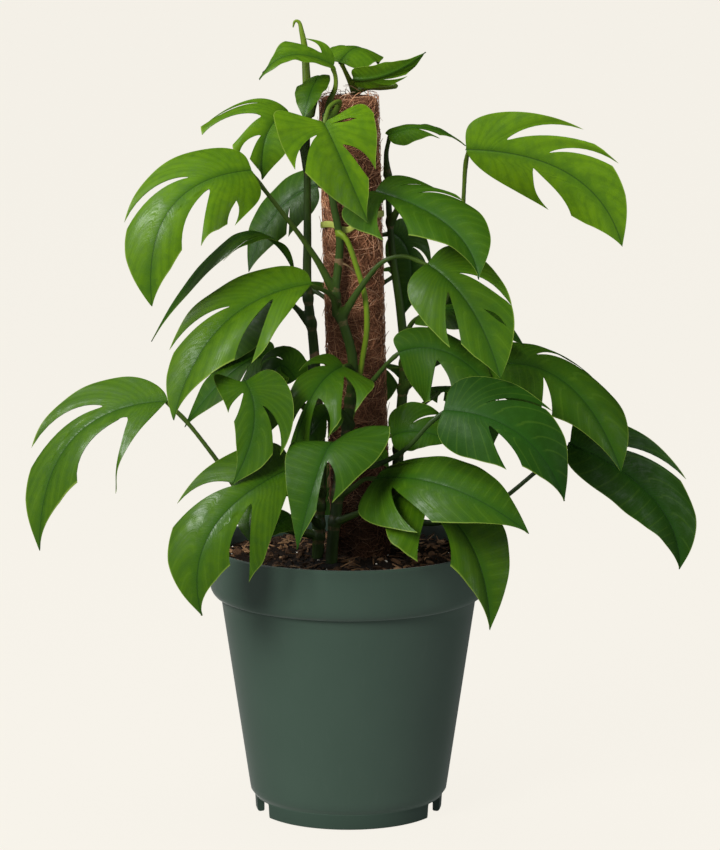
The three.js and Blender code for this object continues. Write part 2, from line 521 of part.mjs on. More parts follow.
    stalk: [[36, 14, 262], [50, 36, 286]] },
  { name: 'leaf_back_rim', vine: 'back', base: [-6, 84, 236], mid: [-12, 118, 226],
    tip: [-18, 142, 182], up: [-0.1, 0.6, 0.8], wide: [27, 27], droop: [0.3, 0.3], rows: 1,
    cuts: { left: [[0.25, 0.64, 0.1]], right: [[0.18, 0.56, 0.1]] },
    stalk: [[4, 34, 214], [-2, 60, 232]] },
];

const LEAVES = LEAF_ROWS.map((row) => ({ ...PLAIN_LEAF, ...row }));

// Other growths of the vines: the stub of a cut stalk, a pale stalk that rises before the pole
// with no blade of its own in sight, and aerial roots that reach for the pole.
const GROWTHS = [
  { vine: 'back', radius: STUB_RADIUS,
    points: [[5, 26, 518], [14, 16, 522.4], [24, 6, 523.5], [34, -3, 525.5]] },
  { vine: 'front', radius: PALE_STALK_RADIUS,
    points: [[-7, -26, 424], [-2, -30, 421], [6, -31, 400], [12, -31, 378], [13, -32, 355], [10, -33, 335],
      [5, -35, 305], [1, -37, 290]] },
  { vine: 'right', radius: ROOT_RADIUS,
    points: [[29, 10, 448], [29, -2, 452], [26, -10, 449], [23.6, -12, 443]] },
  { vine: 'left', radius: ROOT_RADIUS,
    points: [[-24, -17, 335], [-18, -26, 332], [-13, -27, 324], [-14, -25, 316]] },
  { vine: 'front', radius: ROOT_RADIUS,
    points: [[-7, -26, 404], [2, -28, 399], [8, -25, 390], [9, -23.6, 381]] },
];

const sideOf = { left: -1, right: 1 };

// Midrib point and direction at share u of its length, straight on past either end.
function midrib(leaf, u) {
  const [base, mid, tip] = [leaf.base, leaf.mid, leaf.tip].map(vec);
  const pull = mid.clone().multiplyScalar(2).addScaledVector(base, -0.5).addScaledVector(tip, -0.5);
  const t = Math.min(Math.max(u, 0), 1);
  const point = base.clone().multiplyScalar((1 - t) ** 2);
  point.addScaledVector(pull, 2 * t * (1 - t)).addScaledVector(tip, t * t);
  const run = pull.clone().sub(base).multiplyScalar(2 * (1 - t));
  run.addScaledVector(tip.clone().sub(pull), 2 * t);
  point.addScaledVector(run, u - t);
  return { point, along: run.normalize() };
}

// Share of the greatest half-width at share m of the margin, drawn out to a point at the tip.
function envelope(m, swell, taper) {
  const widest = swell / (swell + taper);
  const full = (m / widest) ** swell * ((1 - m) / (1 - widest)) ** taper;
  return full * (1 - TIP_PINCH * m ** 10);
}

const isHole = (cut) => cut.length > 4;

// How far a cut is open at share s of its vein, towards 1 for its full gap.
function opened(cut, s) {
  const start = cut[3] ?? CUT_START;
  if (isHole(cut)) {
    return Math.sin(Math.PI * Math.min(1, Math.max(0, (s - start) / (cut[4] - start))));
  }
  const t = Math.max(0, (s - start) / (1 - start));
  return t ** CUT_ROUNDING * (1 - CUT_CLOSING * t * t);
}

// A point of the blade on the vein from root to margin, at share s of the vein's length.
function bladePoint(leaf, side, root, margin, s, arch) {
  const hand = side < 0 ? 0 : 1;
  const wide = leaf.wide[hand];
  const full = wide * envelope(margin, leaf.swell[hand], leaf.taper[hand]);
  const across = full * (VEIN_SPREAD * s - (VEIN_SPREAD - 1) * s * s);
  const lobed = margin - leaf.lobing[hand] * Math.sin(Math.PI * margin) * (1 - margin) ** 4;
  const { point, along } = midrib(leaf, root + (lobed - root) * s ** VEIN_SWEEP);
  const up = vec(leaf.up);
  up.addScaledVector(along, -up.dot(along)).normalize();
  const out = along.clone().cross(up).multiplyScalar(side);
  const hang = (leaf.droop[hand] * across * across) / wide;
  const lift = leaf.fold[hand] * across - hang - arch * across * s;
  return point.addScaledVector(out, across).addScaledVector(up, lift);
}

// Midrib stations: every cut of either side, with even steps between them. The first span is
// short on the midrib but carries the broad base of the leaf, so it gets more steps.
function stationsOf(leaf, spacing) {
  const roots = [...leaf.cuts.left, ...leaf.cuts.right].map((cut) => cut[0]);
  const knots = [0, ...new Set(roots), 1].sort((a, b) => a - b);
  const stations = [0];
  for (let i = 1; i < knots.length; i += 1) {
    const least = i === 1 ? FIRST_SPAN_STEPS : 1;
    const parts = Math.max(least, Math.round((knots[i] - knots[i - 1]) / spacing));
    for (let k = 1; k <= parts; k += 1) {
      stations.push(lerp(knots[i - 1], knots[i], k / parts));
    }
  }
  return stations;
}

// The columns of one side. A column runs along a vein; a cut has one column on either edge.
function columnsOf(leaf, sideName, stations) {
  const cuts = [...leaf.cuts[sideName]].sort((a, b) => a[0] - b[0]);
  const edges = [[0, 0, 0], ...cuts, [1, 1, 0]];
  const startOf = (cut) => (isHole(cut) ? CUT_START : cut[3] ?? CUT_START);
  const columns = [];
  for (let lobe = 0; lobe < edges.length - 1; lobe += 1) {
    const [first, second] = [edges[lobe], edges[lobe + 1]];
    const hasShoulder = lobe > 0 && !isHole(first);
    const hasTip = lobe < cuts.length && !isHole(second);
    const inside = stations.filter((r) => r >= first[0] - 1e-9 && r <= second[0] + 1e-9);
    for (const root of inside) {
      const share = (root - first[0]) / (second[0] - first[0]);
      const shoulder = hasShoulder ? lerp(SHOULDER_REACH, 1, Math.min(1, share * 3)) : 1;
      const tip = hasTip ? lerp(1, leaf.point[sideName === 'left' ? 0 : 1], share ** 3) : 1;
      columns.push({
        root,
        start: lerp(startOf(first), startOf(second), share),
        reach: shoulder * tip,
        marginAt: (s) => {
          const fromFirst = (first[2] / 2) * (1 - share) * opened(first, s);
          const fromSecond = (second[2] / 2) * share * opened(second, s);
          const margin = lerp(first[1], second[1], share) + fromFirst - fromSecond;
          return Math.min(1, Math.max(0, margin));
        },
        arch: LOBE_ARCH * (2 * share - 1) ** 2,
        opensHere: root === first[0] && lobe > 0,
      });
    }
  }
  return columns;
}

// The upper face of the blade as a grid of vein columns and cross rows, with its cuts open.
function bladeSurface(leaf, spacing, outerRows) {
  const stations = stationsOf(leaf, spacing);
  const points = [];
  const faces = [];
  const index = new Map();
  const addPoint = (p) => {
    const key = [p.x, p.y, p.z].map((value) => Math.round(value * 200)).join();
    if (!index.has(key)) {
      index.set(key, points.length);
      points.push(p);
    }
    return index.get(key);
  };
  for (const sideName of ['left', 'right']) {
    const side = sideOf[sideName];
    const grid = columnsOf(leaf, sideName, stations).map((column) => {
      const shares = [0, column.start];
      for (let k = 1; k <= outerRows; k += 1) {
        shares.push(lerp(column.start, column.reach, k / outerRows));
      }
      const ids = shares.map((s) => {
        const outward = Math.sqrt(Math.max(0, s - CUT_START) / (1 - CUT_START));
        return addPoint(bladePoint(leaf, side, column.root, column.marginAt(s), s, column.arch * outward));
      });
      return { ids, opensHere: column.opensHere };
    });
    for (let j = 0; j < grid.length - 1; j += 1) {
      if (grid[j + 1].opensHere) continue;
      for (let k = 0; k < grid[j].ids.length - 1; k += 1) {
        const [a, b] = [grid[j].ids[k], grid[j].ids[k + 1]];
        const [c, d] = [grid[j + 1].ids[k + 1], grid[j + 1].ids[k]];
        for (const tri of [[a, b, c], [a, c, d]]) {
          if (new Set(tri).size < 3) continue;
          faces.push(side > 0 ? tri : tri.reverse());
        }
      }
    }
  }
  return { points, faces };
}

// Gives a face its thickness: the same triangles below, and a band along every open edge.
function thicken({ points, faces }, thickness) {
  const normals = points.map(() => new THREE.Vector3());
  for (const [a, b, c] of faces) {
    const edge = points[b].clone().sub(points[a]);
    const normal = edge.cross(points[c].clone().sub(points[a]));
    for (const i of [a, b, c]) normals[i].add(normal);
  }
  const count = points.length;
  const lift = (sign) => points.map((p, i) => (
    p.clone().addScaledVector(normals[i].clone().normalize(), (sign * thickness) / 2)
  ));
  const both = [...lift(1), ...lift(-1)];
  const closed = [...faces];
  const edges = new Set(faces.flatMap(([a, b, c]) => [`${a},${b}`, `${b},${c}`, `${c},${a}`]));
  for (const [a, b, c] of faces) closed.push([a + count, c + count, b + count]);
  for (const [a, b, c] of faces) {
    for (const [p, q] of [[a, b], [b, c], [c, a]]) {
      if (edges.has(`${q},${p}`)) continue;
      closed.push([q, p, p + count], [q, p + count, q + count]);
    }
  }
  return geometryFrom(both, closed);
}

function makeBlade(leaf) {
  return thicken(bladeSurface(leaf, STATION_GAP, leaf.rows), BLADE_THICKNESS);
}

// The stalk ends just short of the blade, under the start of its midrib.
function stalkPoints(leaf) {
  const { point, along } = midrib(leaf, 0);
  const up = vec(leaf.up);
  up.addScaledVector(along, -up.dot(along)).normalize();
  point.addScaledVector(along, -STALK_CLEAR.along).addScaledVector(up, -STALK_CLEAR.below);
  return [...leaf.stalk, point.toArray()];
}

const stemRadius = (share) => STEM_RADIUS * (1.05 - STEM_TAPER * share * share);
const stalkRadius = (share) => STALK_RADIUS * (1 + 0.75 * (1 - share) ** 4 - 0.28 * share);

function makeVine(name) {
  let solid = toSolid(rod(VINES[name], stemRadius, STEM_SIDES, STEM_STEPS));
  for (const leaf of LEAVES.filter((row) => row.vine === name)) {
    const stalk = rod(stalkPoints(leaf), stalkRadius, STALK_SIDES, STALK_STEPS);
    solid = solid.add(toSolid(stalk));
  }
  for (const growth of GROWTHS.filter((row) => row.vine === name)) {
    solid = solid.add(toSolid(rod(growth.points, () => growth.radius, STALK_SIDES, STALK_STEPS)));
  }
  return fromSolid(solid);
}

// The newest leaf is still rolled up: a slim spike with a hooked tip, above the left vine.
const NEW_LEAF = [[-29, -5, 515.6], [-30, -1, 536], [-31, 2, 552], [-33, 3, 564], [-35, 4, 571]];

function makeNewLeaf() {
  const slim = (s) => NEW_LEAF_RADIUS * (1 - s) ** 0.7 * (0.75 + 0.5 * s) + NEW_LEAF_TIP_RADIUS;
  return rod(NEW_LEAF, slim, STEM_SIDES, 8);
}

// ---- soil ---------------------------------------------------------------------------------
// The soil fills the pot to below the rim, mounded and rippled, with plain holes for the stems.
function makeSoil() {
  const random = seededRandom(5);
  const points = [vec([0, 0, SOIL_TOP + SOIL_MOUND])];
  const addRing = (radius, heightOf) => {
    for (let j = 0; j < SOIL_SIDES; j += 1) {
      const angle = (2 * Math.PI * j) / SOIL_SIDES;
      points.push(vec([radius * Math.cos(angle), radius * Math.sin(angle), heightOf()]));
    }
  };
  for (const radius of SOIL_RINGS) {
    const mound = SOIL_MOUND * (1 - (radius / RIM_RADIUS) ** 2);
    addRing(radius, () => SOIL_TOP + mound + SOIL_RIPPLE * (random() - 0.5) * 2);
  }
  const bandFoot = POT_HEIGHT - BAND_HEIGHT;
  const floor = FOOT_HEIGHT + POT_FLOOR + PLAY;
  const walls = [
    [SOIL_RADIUS - 0.2, bandFoot + 5.5],
    [BAND_STEP_RADIUS - POT_WALL - 0.8, bandFoot - 0.5],
    [BODY_FOOT_RADIUS - POT_WALL - 1, FOOT_HEIGHT + BODY_FOOT_ROUND + 3],
    [BODY_FOOT_RADIUS - POT_WALL - 6, floor],
  ];
  for (const [radius, z] of walls) addRing(radius, () => z);
  points.push(vec([0, 0, floor]));
  const faces = [];
  const rows = SOIL_RINGS.length + walls.length;
  const bottom = points.length - 1;
  for (let j = 0; j < SOIL_SIDES; j += 1) {
    const next = (j + 1) % SOIL_SIDES;
    faces.push([0, 1 + j, 1 + next]);
    for (let i = 0; i < rows - 1; i += 1) {
      const a = 1 + i * SOIL_SIDES + j;
      const b = 1 + i * SOIL_SIDES + next;
      faces.push([a, a + SOIL_SIDES, b + SOIL_SIDES], [a, b + SOIL_SIDES, b]);
    }
    const last = 1 + (rows - 1) * SOIL_SIDES;
    faces.push([bottom, last + next, last + j]);
  }
  let solid = toSolid(geometryFrom(points, faces));
  const holeEnds = [onPole(STAKE_FOOT_Z - 10), onPole(SOIL_TOP + 46)];
  solid = solid.subtract(toSolid(rod(holeEnds, () => POLE_RADIUS + PLAY, POLE_SIDES, 2)));
  for (const name of Object.keys(VINES)) {
    const hole = rod(VINES[name], (s) => stemRadius(s) + PLAY, STEM_SIDES, STEM_STEPS);
    solid = solid.subtract(toSolid(hole));
  }
  return fromSolid(solid);
}

// ---- assembly -----------------------------------------------------------------------------
const plant = new THREE.Group();

function place(name, geometry, finish) {
  const mesh = new THREE.Mesh(geometry, finish);
  mesh.name = name;
  plant.add(mesh);
}

place('pot', makePot(), potGreen);
place('soil', makeSoil(), soilBrown);
place('coir_pole', makeCoirPole(), coirBrown);
place('pole_stake', makeStake(), stakeBrown);
place('plant_tie', makeTie(), tieGreen);
for (const name of Object.keys(VINES)) {
  place(`vine_${name}`, makeVine(name), stemGreen);
}
place('new_leaf', makeNewLeaf(), youngGreen);
for (const leaf of LEAVES) {
  place(leaf.name, makeBlade(leaf), leafGreen);
}

const box = new THREE.Box3().setFromObject(plant);
const centre = box.getCenter(new THREE.Vector3());
plant.position.set(-centre.x, -centre.y, -box.min.z);
plant.updateMatrixWorld(true);

export default plant;
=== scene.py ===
"""A mini monstera with split leaves on a coir pole, standing in its green nursery pot.

Pieces are shaped in millimetres round the pot's axis and then set down, in metres, where the
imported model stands. The leaves, stems and pole repeat the sizes of the solids that they cover.
"""

import math
import random
from collections import namedtuple

import bpy
import numpy as np
from mathutils import Matrix, Vector, kdtree, noise


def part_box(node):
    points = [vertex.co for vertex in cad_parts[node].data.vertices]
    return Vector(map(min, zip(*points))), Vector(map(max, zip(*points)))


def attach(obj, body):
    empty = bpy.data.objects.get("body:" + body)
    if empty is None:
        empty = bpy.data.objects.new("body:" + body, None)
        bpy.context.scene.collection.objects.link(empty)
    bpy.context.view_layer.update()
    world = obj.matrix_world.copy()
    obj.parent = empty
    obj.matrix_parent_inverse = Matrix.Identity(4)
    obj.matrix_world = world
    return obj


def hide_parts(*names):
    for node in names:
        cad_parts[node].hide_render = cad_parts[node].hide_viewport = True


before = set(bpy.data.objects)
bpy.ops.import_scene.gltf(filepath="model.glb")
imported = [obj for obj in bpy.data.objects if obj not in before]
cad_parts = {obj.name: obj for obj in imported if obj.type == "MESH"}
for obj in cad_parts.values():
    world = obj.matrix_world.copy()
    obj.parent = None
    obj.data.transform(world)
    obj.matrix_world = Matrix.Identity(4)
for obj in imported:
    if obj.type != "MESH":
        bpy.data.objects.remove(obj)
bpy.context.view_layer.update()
pot_low, pot_high = (Vector(corner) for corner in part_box("pot"))
POT_AXIS = Vector(((pot_low.x + pot_high.x) / 2, (pot_low.y + pot_high.y) / 2, pot_low.z))
TO_ROW = Matrix.Translation(POT_AXIS) @ Matrix.Scale(0.001, 4)

# ---- sizes, in millimetres, with a few counts and shares -----------------------------------
POT_HEIGHT = 196
RIM_RADIUS = 100.5
BAND_HEIGHT = 37.5
BAND_FOOT = POT_HEIGHT - BAND_HEIGHT
BAND_STEP_RADIUS = 92
BODY_FOOT_RADIUS = 71.8
POT_WALL = 2
POT_FLOOR = 3
FOOT_RADIUS = 67.5
FOOT_HEIGHT = 12
FOOT_WALL = 5
NOTCH_ANGLES = (-67, 67, 180)
NOTCH_WIDTH = 22
NOTCH_DEPTH = 20
DRAIN_RADIUS = 6
DRAIN_CIRCLE = 46

SOIL_TOP = 184
SOIL_MOUND = 5
SOIL_RADIUS = 96.4
LOOSE_MIX_RADIUS = 94.5

POLE_RADIUS = 21
POLE_BORE = 9
POLE_FOOT = Vector((12.5, 2, 60))
POLE_HEAD = Vector((0.5, 2, 517))
# the pole's painted shade starts below the first height and is full below the second
POLE_UNSHADED_ABOVE = 360
POLE_SHADED_BELOW = 190
STRANDS = 5000
STRAND_LENGTHS = (7, 24)
STRAND_RADII = (0.14, 0.34)
STAKE_RADIUS = 8.6
STAKE_FOOT = 30
TIE_Z = 430
TIE_LEAN = 5
TIE_DIP = 7
TIE_WIDTH = 4.6
TIE_THICKNESS = 1.3

STEM_RADIUS = 4.2
STEM_LENGTH = 400
YOUNG_STEM_FROM = 508
YOUNG_STEM_RISE = 25
STALK_RADIUS = 2.1
NODE_SWELL = 0.9
NODE_LENGTH = 3.5
SCAR_GAP = 5
SCAR_DEPTH = 0.3
STUB_RADIUS = 2.2
PALE_STALK_RADIUS = 2.1
ROOT_RADIUS = 0.9
STEM_VOXEL = 0.75

VEIN_SWEEP = 1.4
VEIN_SPREAD = 1.35
CUT_START = 0.24
CUT_ROUNDING = 0.36
CUT_CLOSING = 0.45
TIP_PINCH = 0.35
SHOULDER_REACH = 0.95
TIP_REACH = 1.07
LOBE_ARCH = 0.07
VEINS_A_SIDE = 15
VEIN_MAP_WIDTH = VEINS_A_SIDE + 2
VEIN_RELIEF = 0.08
MARGIN_WAVE = 0.9
MARGIN_THINNING = 0.65
MIDRIB_GROOVE = 0.4
MIDRIB_GROOVE_WIDTH = 0.9
MIDRIB_THICKNESS = 1.5
MIDRIB_WIDTH = 1.3
BLADE_THICKNESS = 0.6
INNER_ROWS = (0, 0.012, 0.03, 0.06, 0.11, 0.17, CUT_START)
SEEN_COLUMNS, SEEN_ROWS = 90, 12
SHADED_COLUMNS, SHADED_ROWS = 40, 8

# ---- the studio, in metres -----------------------------------------------------------------
CAMERA_PLACE = Vector((0.0083, -3.0, 0.817))
CAMERA_PITCH = 0.1766
LENS = 180
SENSOR = 36
PLANT_MIDDLE = (0, 0, 0.3)
WHITE = (1.0, 1.0, 1.0)
SKY_COLOUR = (0.95, 0.97, 1.0)
SKY_STRENGTH = 0.26
FLOOR_SIZE = 120
FLOOR_DROP = 0.0005
FLOOR_GLOW = (0.930, 0.895, 0.822, 1)
FLOOR_CARD = (0.85, 0.82, 0.76, 1)
FLOOR_SHADE = 0.035

# ---- growth --------------------------------------------------------------------------------
VINES = {
    "front": (
        (-8, -30, 120), (-12, -36, 190), (-7, -38, 240), (0, -38, 293), (3, -36, 335), (-4, -33, 362),
        (-9, -30, 380), (-7, -26, 400), (-6, -25, 419), (-10, -24, 442), (-15, -22, 470), (-16, -20, 508),
    ),
    "left": (
        (-24, -12, 120), (-22, -16, 190), (-20, -18, 254), (-22, -18, 304), (-25, -16, 346), (-29, -12, 381),
        (-29, -8, 420), (-29, -6, 455), (-29, -6, 490), (-27, -8, 514),
    ),
    "right": (
        (34, 20, 120), (34, 18, 195), (35, 16, 240), (38, 12, 290), (40, 8, 330), (37, 8, 365),
        (32, 10, 400), (29, 11, 435), (28, 9, 464),
    ),
    "back": (
        (4, 34, 120), (4, 34, 195), (2, 34, 280), (0, 33, 370), (-5, 33, 450), (4, 29, 500), (5, 27, 514),
        (5, 25, 521),
    ),
}
# What else grows from the stems; young and bark are its colour, as the stem's finish reads them.
Growth = namedtuple("Growth", "vine radius young bark points")
GROWTHS = (
    Growth("back", STUB_RADIUS, 0.3, 0, ((5, 26, 518), (14, 16, 522.4), (24, 6, 523.5), (34, -3, 525.5))),
    Growth("front", PALE_STALK_RADIUS, 0.9, 0, (
        (-7, -26, 424), (-2, -30, 421), (6, -31, 400), (12, -31, 378), (13, -32, 355), (10, -33, 335),
        (5, -35, 305), (1, -37, 290),
    )),
    Growth("right", ROOT_RADIUS, 0.3, 1, ((29, 10, 448), (29, -2, 452), (26, -10, 449), (23.6, -12, 443))),
    Growth("left", ROOT_RADIUS, 0.3, 1, ((-24, -17, 335), (-18, -26, 332), (-13, -27, 324), (-14, -25, 316))),
    Growth("front", ROOT_RADIUS, 0.3, 1, ((-7, -26, 404), (2, -28, 399), (8, -25, 390), (9, -23.6, 381))),
)
NEW_LEAF = (
    (-29, -5, 515.6), (-30, -1, 536), (-31, 2, 552), (-33, 3, 563), (-35, 4, 570), (-37.5, 4, 570.5),
    (-39, 4, 566),
)
NEW_LEAF_RADIUS = 4
NEW_LEAF_TURNS = 1.3

